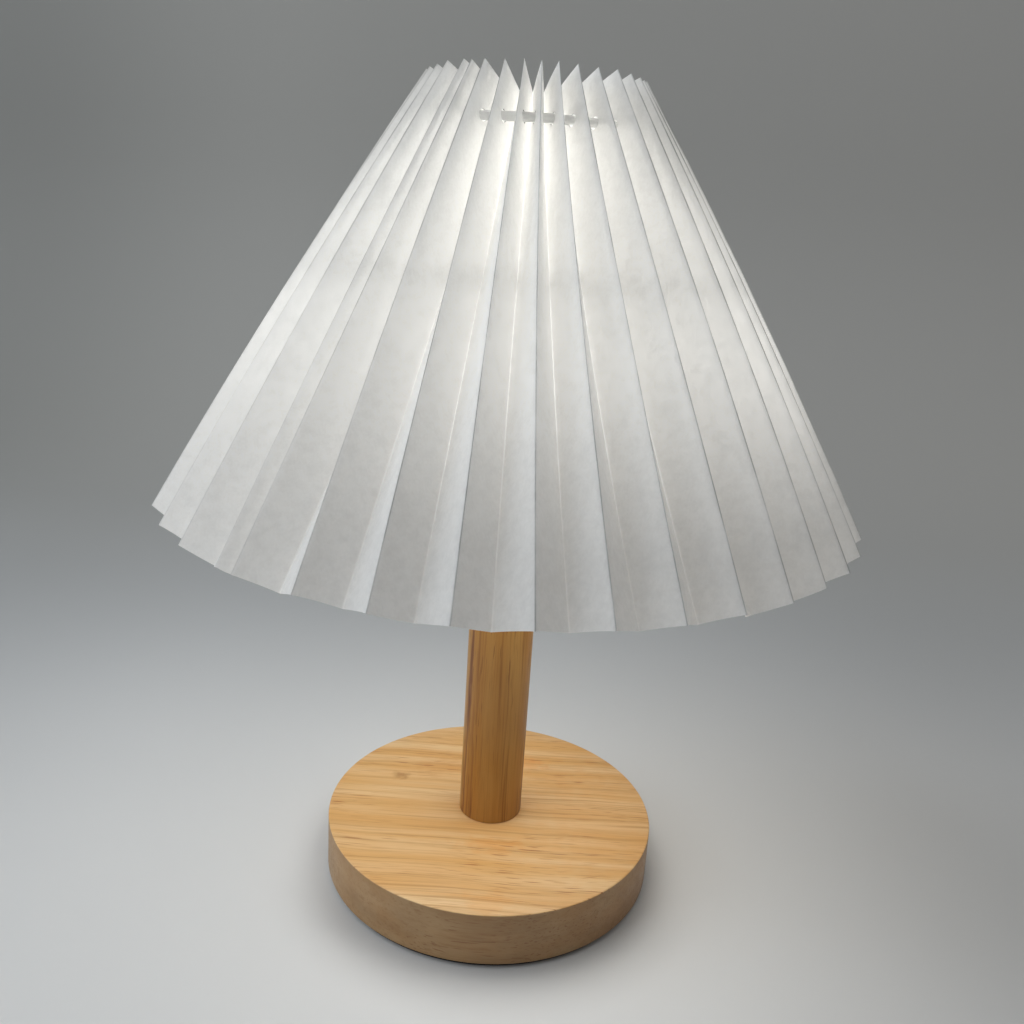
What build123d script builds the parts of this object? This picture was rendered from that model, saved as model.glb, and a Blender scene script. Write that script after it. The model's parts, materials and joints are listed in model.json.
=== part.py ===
from build123d import *
import math
import os

# Pleated paper table lamp: wooden base and post, E27 lampholder, wire shade frame, pleated shade and bulb.
# Millimetres. The origin is on the table under the middle of the base, +Z is up and -Y is the front.
os.makedirs("parts", exist_ok=True)

# ---------------------------------------------------------------- driving dimensions
# Clearances
assembly_gap = 0.1  # round pieces that are pushed or screwed together and never move
turning_gap = 0.3  # pieces that move past each other
paper_gap = 0.2  # between the paper and the wire that it rests on

# Flats that stand for the round of the small turned pieces, of a wire and of the bulb's globe
round_sides = 36
wire_sides = 6
screw_sides = 12
globe_bands = 8

# Wooden base and the pad under it
base_diameter = 120.0
base_thickness = 19.0
base_edge = 0.8  # fine bevel that stands for the sanded edge
pad_thickness = 1.6
pad_margin = 1.5  # the pad stays this far inside the base's edge

# Wooden post
post_diameter = 23.0
post_length = 133.4
post_chamfer = 0.5

# Threaded tube through base and post, with its nut and washer in a recess under the base
tube_diameter = 10.0
tube_bore = 7.2
tube_clearance = 0.25  # drilled holes in the wood around the tube
tube_rise = 7.5  # how far the tube stands into the lampholder
nut_across_flats = 14.0
nut_thickness = 4.0
nut_overhang = 1.0  # how far the tube shows below its nut
washer_diameter = 28.0
washer_thickness = 1.5
recess_diameter = 32.0
recess_floor = 7.0  # wood left between the recess and the base's top

# Cord outlet at the rear of the base
outlet_height = 7.4  # above the underside of the wood
bush_bore = 4.4
bush_sleeve_diameter = 7.2
bush_flange_diameter = 11.2
bush_flange_thickness = 1.4
bush_flange_sunk = 1.0
bush_length = 14.0

# E27 lampholder
holder_neck_diameter = 25.0
holder_neck_height = 6.0
holder_diameter = 39.5
cap_height = 12.0
cap_spigot_height = 6.0
cap_wall = 1.9
cap_bevel = 2.0
shell_wall = 2.0
shell_rise = 29.0  # from the top of the contact block's flange to the rim
block_flange_thickness = 2.0
block_boss_height = 2.0
screw_shell_bore = 27.1
screw_shell_wall = 0.4
screw_shell_height = 22.0
contact_width = 5.0
contact_thickness = 0.5
contact_height = 2.5  # of the bulb's tip above the contact block
contact_reach = 7.0
terminal_width = 6.0
terminal_height = 7.0
terminal_offset = 9.0  # from the middle of the holder to each terminal
terminal_screw_diameter = 2.6
terminal_screw_head = 4.0
terminal_screw_head_height = 1.3
lock_screw_diameter = 3.0

# Seat and ring that hold the shade's frame
seat_diameter = 50.0
seat_thickness = 2.4
seat_drop = 19.0  # from the holder's rim down to the seat's top
ring_diameter = 48.0
ring_height = 5.0
ring_grips = 20
grip_depth = 1.2

# Welded wire frame of the shade
hub_diameter = 58.0
hub_thickness = 1.5
frame_rise = 34.0  # from the seat up to the middle of the support ring
frame_wire = 3.0
spoke_wire = 2.3
spoke_count = 3
spoke_foot = 3.0  # straight part of a spoke beside the hub, before it bends upwards
first_spoke_angle = 90.0

# Pleated paper
pleat_count = 38
paper_thickness = 0.4
top_fold_radius = 33.6  # outer folds at the upper rim
bottom_fold_radius = 114.9  # outer folds at the lower rim
top_pleat_depth = 11.3
bottom_pleat_depth = 7.3
shade_above_frame = 56.2  # from the support ring up to the tips of the outer folds
shade_below_frame = 74.4  # from the support ring down to the lower ends of the outer folds
front_fold_angle = 3.3  # the outer fold nearest the front stands this far round from it

# Ring threaded through the pleats
gather_wire = 2.6
gather_hole_gap = 0.3
gather_below_tips = 15.0

# E27 bulb
bulb_length = 78.0
globe_diameter = 45.0
globe_cavity_height = 24.0
globe_joint_drop = 10.0  # from the globe's middle down to its joint with the collar
collar_wall = 1.6
collar_hollow = 0.9  # how far the collar's side curves in between its ends
cap_shell_diameter = 26.2
cap_shell_wall = 0.4
cap_shell_height = 22.0
insulator_height = 3.4
tip_diameter = 9.0
tip_height = 1.1
board_ledge = 1.5  # ledge inside the collar that carries the LED board
led_board_thickness = 1.5
led_count = 10
led_size = 2.8
led_height = 0.7
led_ring_radius = 12.0
driver_width = 14.0
driver_height = 30.0
driver_thickness = 1.2
driver_seat = 2.0  # depth of the insulator inside the cap, which the driver board stands on
capacitor_diameter = 6.0
capacitor_height = 11.0

# ---------------------------------------------------------------- heights and radii worked out from them
wood_bottom = pad_thickness
base_top = wood_bottom + base_thickness
post_top = base_top + post_length
recess_top = base_top - recess_floor
washer_bottom = recess_top - washer_thickness
nut_bottom = washer_bottom - nut_thickness
tube_bottom = nut_bottom - nut_overhang
tube_top = post_top + tube_rise
outlet_z = wood_bottom + outlet_height

tube_radius = tube_diameter / 2
holder_radius = holder_diameter / 2
cap_top = post_top + cap_height
spigot_top = cap_top + cap_spigot_height
flange_top = spigot_top + block_flange_thickness
block_top = flange_top + block_boss_height
rim = flange_top + shell_rise
seat_top = rim - seat_drop
spigot_radius = holder_radius - shell_wall - assembly_gap
screw_shell_radius = screw_shell_bore / 2 + screw_shell_wall
shell_bore_radius = screw_shell_radius + assembly_gap
cap_cavity_radius = spigot_radius - cap_wall

hub_top = seat_top + hub_thickness
ring_bottom = hub_top + turning_gap
hub_bore_radius = holder_radius + turning_gap
frame_z = seat_top + frame_rise

fold_angle = 180.0 / pleat_count
tips_z = frame_z + shade_above_frame
skirt_z = frame_z - shade_below_frame
fold_lean = (bottom_fold_radius - top_fold_radius) / (tips_z - skirt_z)
top_drop = top_pleat_depth * fold_lean
bottom_drop = bottom_pleat_depth * fold_lean
gather_z = tips_z - gather_below_tips

tip_z = block_top + contact_height
insulator_z = tip_z + tip_height
cap_shell_z = insulator_z + insulator_height
collar_z = cap_shell_z + cap_shell_height
globe_radius = globe_diameter / 2
globe_z = tip_z + bulb_length - globe_radius
joint_z = globe_z - globe_joint_drop
joint_radius = math.sqrt(globe_radius**2 - globe_joint_drop**2)
cap_shell_radius = cap_shell_diameter / 2
globe_cavity_radius = joint_radius - collar_wall


# ---------------------------------------------------------------- turned pieces made of flats
def around(radius, height, sides, first_angle):
    """The corners of a regular polygon round the Z axis."""
    angles = [math.radians(first_angle + 360 * side / sides) for side in range(sides)]
    return [(radius * math.cos(angle), radius * math.sin(angle), height) for angle in angles]


def turned(outline, sides=round_sides, first_angle=0.0):
    """A closed outline of (radius, height) points that is carried round the Z axis in flat steps."""
    faces = []
    for (radius, height), (next_radius, next_height) in zip(outline, outline[1:] + outline[:1]):
        corners = around(radius, height, sides, first_angle)
        next_corners = around(next_radius, next_height, sides, first_angle)
        if height == next_height:
            outer, inner = (corners, next_corners) if radius > next_radius else (next_corners, corners)
            holes = [Wire.make_polygon(inner)] if min(radius, next_radius) > 0 else []
            faces.append(Face(Wire.make_polygon(outer), holes))
        elif max(radius, next_radius) > 0:
            for side in range(sides):
                beside = (side + 1) % sides
                flat = [corners[side], next_corners[side], next_corners[beside], corners[beside]]
                if radius == 0:
                    flat = flat[:3]
                elif next_radius == 0:
                    flat = [flat[0], flat[1], flat[3]]
                faces.append(Face(Wire.make_polygon(flat)))
    return Solid(Shell(faces))


def wire_outline(ring_radius, height, wire_radius):
    """The outline of a wire that lies in a ring round the Z axis."""
    angles = [math.radians(360 * side / wire_sides) for side in range(wire_sides)]
    return [(ring_radius + wire_radius * math.cos(a), height + wire_radius * math.sin(a)) for a in angles]


# ---------------------------------------------------------------- the pleats' geometry
# The folds are straight and the ends of the strip are square to them. Fold 0 is an outer one, and outer
# and inner folds take turns round the shade. A share runs up a fold, from 0 at its foot to 1 at its top.
OUTER = 0
INNER = 1
fold_feet = ((bottom_fold_radius, skirt_z), (bottom_fold_radius - bottom_pleat_depth, skirt_z - bottom_drop))
fold_tops = ((top_fold_radius, tips_z), (top_fold_radius - top_pleat_depth, tips_z - top_drop))


def fold_at(kind, share):
    """Radius and height of a fold at a share of its length."""
    foot_radius, foot_z = fold_feet[kind]
    top_radius, top_z = fold_tops[kind]
    return foot_radius + (top_radius - foot_radius) * share, foot_z + (top_z - foot_z) * share


def share_at(kind, height):
    """The share of a fold's length at which it reaches a height."""
    return (height - fold_feet[kind][1]) / (fold_tops[kind][1] - fold_feet[kind][1])


def fold_slope(kind):
    """How far a fold leans inwards for each millimetre that it rises."""
    return (fold_feet[kind][0] - fold_tops[kind][0]) / (fold_tops[kind][1] - fold_feet[kind][1])


def inside_fold_at(kind, share):
    """The same point on the inside of the paper, square to the fold."""
    radius, height = fold_at(kind, share)
    next_radius, next_height = fold_at(1 - kind, share)
    turn = math.radians(fold_angle)
    across = next_radius * math.sin(turn)
    width = math.hypot(across, next_radius * math.cos(turn) - radius, next_height - height)
    depth = paper_thickness * width / across
    lean = math.atan(fold_slope(kind))
    return radius - depth * math.cos(lean), height - depth * math.sin(lean)


def paper_point(fold, share, inside):
    """A point on fold number fold, on the outside or the inside of the paper."""
    point_on = inside_fold_at if inside else fold_at
    radius, height = point_on(fold % 2, share)
    angle = math.radians(front_fold_angle - 90 + fold * fold_angle)
    return (radius * math.cos(angle), radius * math.sin(angle), height)


def two_triangles(near_low, far_low, far_high, near_high):
    """Two flat faces that stand for one slightly twisted piece of a wall."""
    return (
        Face(Wire.make_polygon([near_low, far_low, far_high])),
        Face(Wire.make_polygon([near_low, far_high, near_high])),
    )


frame_share = share_at(INNER, frame_z)
gather_share = (share_at(OUTER, gather_z) + share_at(INNER, gather_z)) / 2
seat_fold_radius, seat_fold_z = inside_fold_at(INNER, frame_share)
frame_radius = (
    seat_fold_radius
    - (frame_z - seat_fold_z) * fold_slope(INNER)
    - (frame_wire / 2 + paper_gap) * math.hypot(1, fold_slope(INNER))
)
gather_radius = (
    fold_at(OUTER, share_at(OUTER, gather_z))[0] + fold_at(INNER, share_at(INNER, gather_z))[0]
) / 2

# ---------------------------------------------------------------- base, post and tube
with BuildPart() as base_pad:
    with BuildSketch():
        Circle(base_diameter / 2 - pad_margin)
    extrude(amount=pad_thickness)
base_pad.part.label = "base_pad"

outlet_plane = Plane(origin=(0, base_diameter / 2, outlet_z), x_dir=(1, 0, 0), z_dir=(0, 1, 0))
with BuildPart() as base_disc:
    with BuildSketch(Plane.XY.offset(wood_bottom)):
        Circle(base_diameter / 2)
    extrude(amount=base_thickness)
    chamfer(base_disc.edges().filter_by(GeomType.CIRCLE), length=base_edge)
    with BuildSketch(Plane.XY.offset(wood_bottom)):
        Circle(recess_diameter / 2)
    extrude(amount=recess_top - wood_bottom, mode=Mode.SUBTRACT)
    with BuildSketch(Plane.XY.offset(recess_top)):
        Circle(tube_radius + tube_clearance)
    extrude(amount=recess_floor, mode=Mode.SUBTRACT)
    with BuildSketch(outlet_plane):
        Circle(bush_sleeve_diameter / 2 + assembly_gap)
    extrude(amount=-(base_diameter - recess_diameter) / 2 - assembly_gap, mode=Mode.SUBTRACT)
    with BuildSketch(outlet_plane):
        Circle(bush_flange_diameter / 2 + assembly_gap)
    extrude(amount=-bush_flange_sunk, mode=Mode.SUBTRACT)
base_disc.part.label = "base_disc"

with BuildPart() as cord_bush:
    with BuildSketch(outlet_plane.offset(-bush_flange_sunk)):
        Circle(bush_flange_diameter / 2)
    extrude(amount=bush_flange_thickness)
    chamfer(cord_bush.edges().sort_by(Axis.Y)[-1], length=bush_flange_thickness - bush_flange_sunk)
    with BuildSketch(outlet_plane.offset(-bush_flange_sunk)):
        Circle(bush_sleeve_diameter / 2)
    extrude(amount=-(bush_length - bush_flange_thickness))
    with BuildSketch(outlet_plane.offset(bush_flange_thickness - bush_flange_sunk)):
        Circle(bush_bore / 2)
    extrude(amount=-bush_length, mode=Mode.SUBTRACT)
cord_bush.part.label = "cord_bush"

with BuildPart() as post:
    with BuildSketch(Plane.XY.offset(base_top)):
        Circle(post_diameter / 2)
        Circle(tube_radius + tube_clearance, mode=Mode.SUBTRACT)
    extrude(amount=post_length)
    chamfer(post.edges().group_by(Axis.Z)[-1].sort_by(SortBy.RADIUS)[-1], length=post_chamfer)
post.part.label = "post"

with BuildPart() as threaded_tube:
    with BuildSketch(Plane.XY.offset(tube_bottom)):
        Circle(tube_radius)
        Circle(tube_bore / 2, mode=Mode.SUBTRACT)
    extrude(amount=tube_top - tube_bottom)
threaded_tube.part.label = "threaded_tube"

with BuildPart() as tube_nut:
    with BuildSketch(Plane.XY.offset(nut_bottom)):
        RegularPolygon(nut_across_flats / 2, side_count=6, major_radius=False)
        Circle(tube_radius + assembly_gap, mode=Mode.SUBTRACT)
    extrude(amount=nut_thickness)
tube_nut.part.label = "tube_nut"

with BuildPart() as tube_washer:
    washer_outline = [
        (tube_radius + tube_clearance, washer_bottom),
        (washer_diameter / 2, washer_bottom),
        (washer_diameter / 2, recess_top),
        (tube_radius + tube_clearance, recess_top),
    ]
    add(turned(washer_outline))
tube_washer.part.label = "tube_washer"

# ---------------------------------------------------------------- lampholder
neck_radius = holder_neck_diameter / 2
neck_top = post_top + holder_neck_height
lock_screw_z = (post_top + neck_top) / 2
lock_plane = Plane(origin=(0, neck_radius, lock_screw_z), x_dir=(1, 0, 0), z_dir=(0, 1, 0))
with BuildPart() as holder_cap:
    cap_outline = [
        (holder_radius, cap_top),
        (spigot_radius, cap_top),
        (spigot_radius, spigot_top),
        (cap_cavity_radius, spigot_top),
        (cap_cavity_radius, cap_top),
        (neck_radius - cap_wall, neck_top),
        (tube_radius + assembly_gap, neck_top),
        (tube_radius + assembly_gap, post_top),
        (neck_radius, post_top),
        (neck_radius, neck_top),
        (holder_radius, cap_top - cap_bevel),
    ]
    add(turned(cap_outline))
    with BuildSketch(lock_plane):
        Circle(lock_screw_diameter / 2 + assembly_gap)
    extrude(amount=-(neck_radius - tube_radius), mode=Mode.SUBTRACT)
holder_cap.part.label = "holder_cap"

with BuildPart() as lock_screw:
    with BuildSketch(lock_plane.offset(-assembly_gap)):
        Circle(lock_screw_diameter / 2)
    extrude(amount=-(neck_radius - tube_radius - 2 * assembly_gap))
lock_screw.part.label = "lock_screw"

seat_bottom = seat_top - seat_thickness
with BuildPart() as holder_shell:
    shell_outline = [
        (spigot_radius + assembly_gap, cap_top),
        (holder_radius, cap_top),
        (holder_radius, seat_bottom),
        (seat_diameter / 2, seat_bottom),
        (seat_diameter / 2, seat_top),
        (holder_radius, seat_top),
        (holder_radius, rim),
        (shell_bore_radius, rim),
        (shell_bore_radius, flange_top),
        (spigot_radius + assembly_gap, flange_top),
    ]
    add(turned(shell_outline))
holder_shell.part.label = "holder_shell"

with BuildPart() as contact_block:
    block_outline = [
        (0, spigot_top),
        (spigot_radius, spigot_top),
        (spigot_radius, flange_top),
        (screw_shell_radius, flange_top),
        (screw_shell_radius, block_top),
        (0, block_top),
    ]
    add(turned(block_outline))
contact_block.part.label = "contact_block"

with BuildPart() as screw_shell:
    screw_shell_outline = [
        (screw_shell_bore / 2, block_top),
        (screw_shell_radius, block_top),
        (screw_shell_radius, block_top + screw_shell_height),
        (screw_shell_bore / 2, block_top + screw_shell_height),
    ]
    add(turned(screw_shell_outline))
screw_shell.part.label = "screw_shell"

with BuildPart() as centre_contact:
    with BuildSketch(Plane.XZ):
        Polygon(
            (-contact_reach, block_top),
            (0, block_top),
            (0, block_top + contact_thickness),
            (-contact_reach + contact_thickness, block_top + contact_thickness),
            (-contact_reach + contact_thickness, tip_z - contact_thickness),
            (contact_reach / 2, tip_z - contact_thickness),
            (contact_reach / 2, tip_z),
            (-contact_reach, tip_z),
        )
    extrude(amount=contact_width / 2, both=True)
centre_contact.part.label = "centre_contact"

# Each terminal hangs under the block on either side, with its screw across it
with BuildPart() as terminals:
    with BuildSketch(Plane.XY.offset(spigot_top - terminal_height)):
        with GridLocations(2 * terminal_offset, 0, 2, 1):
            Rectangle(terminal_width, terminal_width)
    extrude(amount=terminal_height)
    with BuildSketch(Plane.XZ.offset(terminal_width / 2)):
        with Locations((0, spigot_top - terminal_height / 2)):
            with GridLocations(2 * terminal_offset, 0, 2, 1):
                RegularPolygon(terminal_screw_diameter / 2 + assembly_gap, side_count=screw_sides)
    extrude(amount=-terminal_width, mode=Mode.SUBTRACT)
terminals.part.label = "terminals"

with BuildPart() as terminal_screws:
    with BuildSketch(Plane.XZ.offset(terminal_width / 2)):
        with Locations((0, spigot_top - terminal_height / 2)):
            with GridLocations(2 * terminal_offset, 0, 2, 1):
                RegularPolygon(terminal_screw_head / 2, side_count=screw_sides)
    extrude(amount=terminal_screw_head_height)
    with BuildSketch(Plane.XZ.offset(terminal_width / 2)):
        with Locations((0, spigot_top - terminal_height / 2)):
            with GridLocations(2 * terminal_offset, 0, 2, 1):
                RegularPolygon(terminal_screw_diameter / 2, side_count=screw_sides)
    extrude(amount=-terminal_width)
terminal_screws.part.label = "terminal_screws"

grip_radii = (ring_diameter / 2, ring_diameter / 2 - grip_depth)
grip_angles = [math.radians(180 * corner / ring_grips) for corner in range(2 * ring_grips)]
with BuildPart() as shade_ring:
    with BuildSketch(Plane.XY.offset(ring_bottom)):
        Polygon(
            *[
                (grip_radii[corner % 2] * math.cos(angle), grip_radii[corner % 2] * math.sin(angle))
                for corner, angle in enumerate(grip_angles)
            ],
            align=None,
        )
        Circle(hub_bore_radius, mode=Mode.SUBTRACT)
    extrude(amount=ring_height)
shade_ring.part.label = "shade_ring"

# ---------------------------------------------------------------- welded shade frame
hub_middle = seat_top + hub_thickness / 2
with BuildPart() as shade_hub:
    with BuildSketch(Plane.XY.offset(seat_top)):
        Circle(hub_diameter / 2)
        Circle(hub_bore_radius, mode=Mode.SUBTRACT)
    extrude(amount=hub_thickness)
shade_hub.part.label = "shade_hub"

with BuildPart() as support_ring:
    add(turned(wire_outline(frame_radius, frame_z, frame_wire / 2)))
support_ring.part.label = "support_ring"

with BuildPart() as spoke:
    with BuildLine(Plane.XZ) as spoke_line:
        Polyline(
            (hub_diameter / 2, hub_middle),
            (hub_diameter / 2 + spoke_foot, hub_middle),
            (frame_radius, frame_z),
        )
    with BuildSketch(Plane(origin=spoke_line.line @ 0, z_dir=spoke_line.line % 0)):
        RegularPolygon(spoke_wire / 2, side_count=wire_sides)
    sweep(transition=Transition.RIGHT)

# Each spoke is welded to the hub's edge and against the inside of the support ring
with BuildPart() as shade_spokes:
    with PolarLocations(0, spoke_count, start_angle=first_spoke_angle):
        add(spoke.part)
    add(support_ring.part, mode=Mode.SUBTRACT)
shade_spokes.part.label = "shade_spokes"

# ---------------------------------------------------------------- pleated shade and its gather ring
share_levels = (0.0, frame_share / 2, frame_share, (frame_share + gather_share) / 2, 1.0)
paper_faces = []
for fold in range(2 * pleat_count):
    # both walls of a pleat are split the same way, from the foot of the outer fold
    near, far = (fold, fold + 1) if fold % 2 == OUTER else (fold + 1, fold)
    for inside in (False, True):
        for low, high in zip(share_levels, share_levels[1:]):
            paper_faces += two_triangles(
                paper_point(near, low, inside),
                paper_point(far, low, inside),
                paper_point(far, high, inside),
                paper_point(near, high, inside),
            )
    for rim_share in (share_levels[0], share_levels[-1]):
        paper_faces += two_triangles(
            paper_point(near, rim_share, False),
            paper_point(far, rim_share, False),
            paper_point(far, rim_share, True),
            paper_point(near, rim_share, True),
        )

# The gather ring is straight where it passes through a wall and bends at the folds
gather_outline = wire_outline(gather_radius, gather_z, gather_wire / 2)
gather_hole_outline = wire_outline(gather_radius, gather_z, gather_wire / 2 + gather_hole_gap)
first_fold_angle = front_fold_angle - 90
with BuildPart() as pleated_shade:
    add(Solid(Shell(paper_faces)))
    add(turned(gather_hole_outline, 2 * pleat_count, first_fold_angle), mode=Mode.SUBTRACT)
pleated_shade.part.label = "pleated_shade"

with BuildPart() as gather_ring:
    add(turned(gather_outline, 2 * pleat_count, first_fold_angle))
gather_ring.part.label = "gather_ring"

# ---------------------------------------------------------------- bulb
joint_angle = math.degrees(math.asin(globe_joint_drop / globe_radius))


def globe_point(step):
    """A point on the globe's outline, from its joint with the collar up to its top."""
    angle = math.radians(-joint_angle + (90 + joint_angle) * step / globe_bands)
    return (globe_radius * math.cos(angle), globe_z + globe_radius * math.sin(angle))


with BuildPart() as bulb_globe:
    globe_outline = [globe_point(step) for step in range(globe_bands)]
    globe_outline += [
        (0, globe_z + globe_radius),
        (0, joint_z + globe_cavity_height),
        (globe_cavity_radius, joint_z + globe_cavity_height / 2),
        (globe_cavity_radius, joint_z),
    ]
    add(turned(globe_outline))
bulb_globe.part.label = "bulb_globe"

with BuildPart() as bulb_collar:
    collar_outline = [
        (cap_shell_radius, collar_z),
        ((cap_shell_radius + joint_radius) / 2 - collar_hollow, (collar_z + joint_z) / 2),
        (joint_radius, joint_z),
        (globe_cavity_radius, joint_z),
        (globe_cavity_radius, joint_z - led_board_thickness),
        (globe_cavity_radius - board_ledge, joint_z - led_board_thickness),
        (cap_shell_radius - collar_wall, collar_z),
    ]
    add(turned(collar_outline))
bulb_collar.part.label = "bulb_collar"

with BuildPart() as bulb_cap:
    bulb_cap_outline = [
        (cap_shell_radius - cap_shell_wall, cap_shell_z),
        (cap_shell_radius, cap_shell_z),
        (cap_shell_radius, collar_z),
        (cap_shell_radius - cap_shell_wall, collar_z),
    ]
    add(turned(bulb_cap_outline))
bulb_cap.part.label = "bulb_cap"

insulator_seat_radius = cap_shell_radius - cap_shell_wall - assembly_gap
with BuildPart() as bulb_insulator:
    insulator_outline = [
        (0, insulator_z),
        (tip_diameter / 2, insulator_z),
        (cap_shell_radius, cap_shell_z),
        (insulator_seat_radius, cap_shell_z),
        (insulator_seat_radius, cap_shell_z + driver_seat),
        (0, cap_shell_z + driver_seat),
    ]
    add(turned(insulator_outline))
bulb_insulator.part.label = "bulb_insulator"

with BuildPart() as bulb_tip:
    tip_outline = [
        (0, tip_z),
        ((tip_diameter - tip_height) / 2, tip_z),
        (tip_diameter / 2, tip_z + tip_height / 2),
        (tip_diameter / 2, insulator_z),
        (0, insulator_z),
    ]
    add(turned(tip_outline))
bulb_tip.part.label = "bulb_tip"

with BuildPart() as led_board:
    with BuildSketch(Plane.XY.offset(joint_z - led_board_thickness)):
        RegularPolygon(globe_cavity_radius - assembly_gap, side_count=round_sides)
    extrude(amount=led_board_thickness)
    with BuildSketch(Plane.XY.offset(joint_z)):
        with PolarLocations(led_ring_radius, led_count):
            Rectangle(led_size, led_size)
    extrude(amount=led_height)
led_board.part.label = "led_board"

with BuildPart() as driver_board:
    with BuildSketch(Plane.XY.offset(cap_shell_z + driver_seat)):
        Rectangle(driver_width, driver_thickness)
    extrude(amount=driver_height)
    with BuildSketch(Plane.XY.offset(cap_shell_z + driver_seat + driver_height / 3)):
        with Locations((0, (driver_thickness + capacitor_diameter) / 2)):
            Circle(capacitor_diameter / 2)
    extrude(amount=capacitor_height)
driver_board.part.label = "driver_board"

# ---------------------------------------------------------------- files
pieces = (
    base_pad,
    base_disc,
    cord_bush,
    post,
    threaded_tube,
    tube_nut,
    tube_washer,
    holder_cap,
    lock_screw,
    holder_shell,
    contact_block,
    screw_shell,
    centre_contact,
    terminals,
    terminal_screws,
    shade_ring,
    shade_hub,
    shade_spokes,
    support_ring,
    pleated_shade,
    gather_ring,
    bulb_globe,
    bulb_collar,
    bulb_cap,
    bulb_insulator,
    bulb_tip,
    led_board,
    driver_board,
)
for piece in pieces:
    export_step(piece.part, f"parts/{piece.part.label}.step")
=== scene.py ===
import json
import logging
import math
import random
from dataclasses import dataclass, field
from enum import Enum
from functools import cache
from typing import Any, Callable, Optional, Sequence, Union

import bpy
from mathutils import Matrix, Vector


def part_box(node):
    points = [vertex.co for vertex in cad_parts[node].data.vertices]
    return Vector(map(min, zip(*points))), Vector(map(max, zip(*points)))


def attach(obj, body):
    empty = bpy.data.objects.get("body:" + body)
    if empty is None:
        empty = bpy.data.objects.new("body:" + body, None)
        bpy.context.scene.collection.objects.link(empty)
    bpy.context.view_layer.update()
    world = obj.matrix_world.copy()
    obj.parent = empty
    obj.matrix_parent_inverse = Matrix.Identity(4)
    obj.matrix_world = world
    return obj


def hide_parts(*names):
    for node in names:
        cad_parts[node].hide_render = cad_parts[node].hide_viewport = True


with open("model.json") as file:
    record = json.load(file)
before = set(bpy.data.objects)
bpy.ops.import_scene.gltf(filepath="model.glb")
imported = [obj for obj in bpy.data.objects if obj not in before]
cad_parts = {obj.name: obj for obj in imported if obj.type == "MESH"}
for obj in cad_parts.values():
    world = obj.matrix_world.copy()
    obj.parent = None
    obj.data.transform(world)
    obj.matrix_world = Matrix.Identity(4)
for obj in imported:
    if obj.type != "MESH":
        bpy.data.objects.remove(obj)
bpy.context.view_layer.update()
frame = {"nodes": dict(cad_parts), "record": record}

MM = 0.001
FULL_TURN = 2 * math.pi
BLACK = (0.0, 0.0, 0.0, 1.0)
Point = tuple[float, float]
Triple = tuple[float, float, float]
Colour = Triple
Socket = bpy.types.NodeSocket
Value = Union[float, Socket]
log = logging.getLogger("lamp")


# ---------------------------------------------------------------- modelling helpers
def deselect() -> None:
    """Leaves edit mode and selects nothing."""
    if bpy.context.mode != "OBJECT":
        bpy.ops.object.mode_set(mode="OBJECT")
    bpy.ops.object.select_all(action="DESELECT")


def pick(piece: bpy.types.Object) -> None:
    """Makes a piece the only one selected and the active one.

    Args:
        piece: the object to select.
    """
    deselect()
    piece.select_set(True)
    bpy.context.view_layer.objects.active = piece


def apply_modifier(piece: bpy.types.Object, kind: str, **settings: Any) -> None:
    """Adds a modifier and applies it.

    Args:
        piece: the mesh that it shapes.
        kind: Blender's name for the modifier's type.
        settings: the modifier's own settings.
    """
    pick(piece)
    modifier = piece.modifiers.new(kind.title(), kind)
    for name, value in settings.items():
        setattr(modifier, name, value)
    bpy.ops.object.modifier_apply(modifier=modifier.name)


def tidy_shell(piece: bpy.types.Object, merge: float = 1e-6) -> None:
    """Merges doubles, removes loose edges and turns the faces outwards.

    Args:
        piece: the mesh to clean.
        merge: how near two vertices lie to be merged, in metres.
    """
    pick(piece)
    bpy.ops.object.mode_set(mode="EDIT")
    bpy.ops.mesh.select_all(action="SELECT")
    bpy.ops.mesh.remove_doubles(threshold=merge)
    bpy.ops.mesh.delete_loose(use_verts=True, use_edges=True, use_faces=False)
    bpy.ops.mesh.select_all(action="SELECT")
    bpy.ops.mesh.normals_make_consistent(inside=False)
    bpy.ops.object.mode_set(mode="OBJECT")


def smooth(piece: bpy.types.Object, degrees: float = 35.0) -> None:
    """Shades a piece smooth, apart from edges sharper than an angle."""
    pick(piece)
    bpy.ops.object.shade_smooth_by_angle(angle=math.radians(degrees))


def soften_edges(piece: bpy.types.Object, width: float) -> None:
    """Rounds the sharp edges of a piece.

    Args:
        piece: the mesh to round.
        width: the width of the rounding in millimetres.
    """
    limits = {"limit_method": "ANGLE", "angle_limit": math.radians(40.0), "use_clamp_overlap": True}
    apply_modifier(piece, "BEVEL", width=width * MM, segments=3, **limits)


def arc(centre: Point, radius: float, start: float, end: float, count: int) -> list[Point]:
    """Points along an arc of an outline.

    Args:
        centre: the arc's centre as (radius, height).
        radius: the arc's own radius.
        start: first angle in degrees, 0 outwards and 90 upwards.
        end: last angle in degrees.
        count: number of points.

    Returns:
        The points, the first and last ones included.
    """
    angles = [math.radians(start + (end - start) * step / (count - 1)) for step in range(count)]
    return [(centre[0] + radius * math.cos(a), centre[1] + radius * math.sin(a)) for a in angles]


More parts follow.
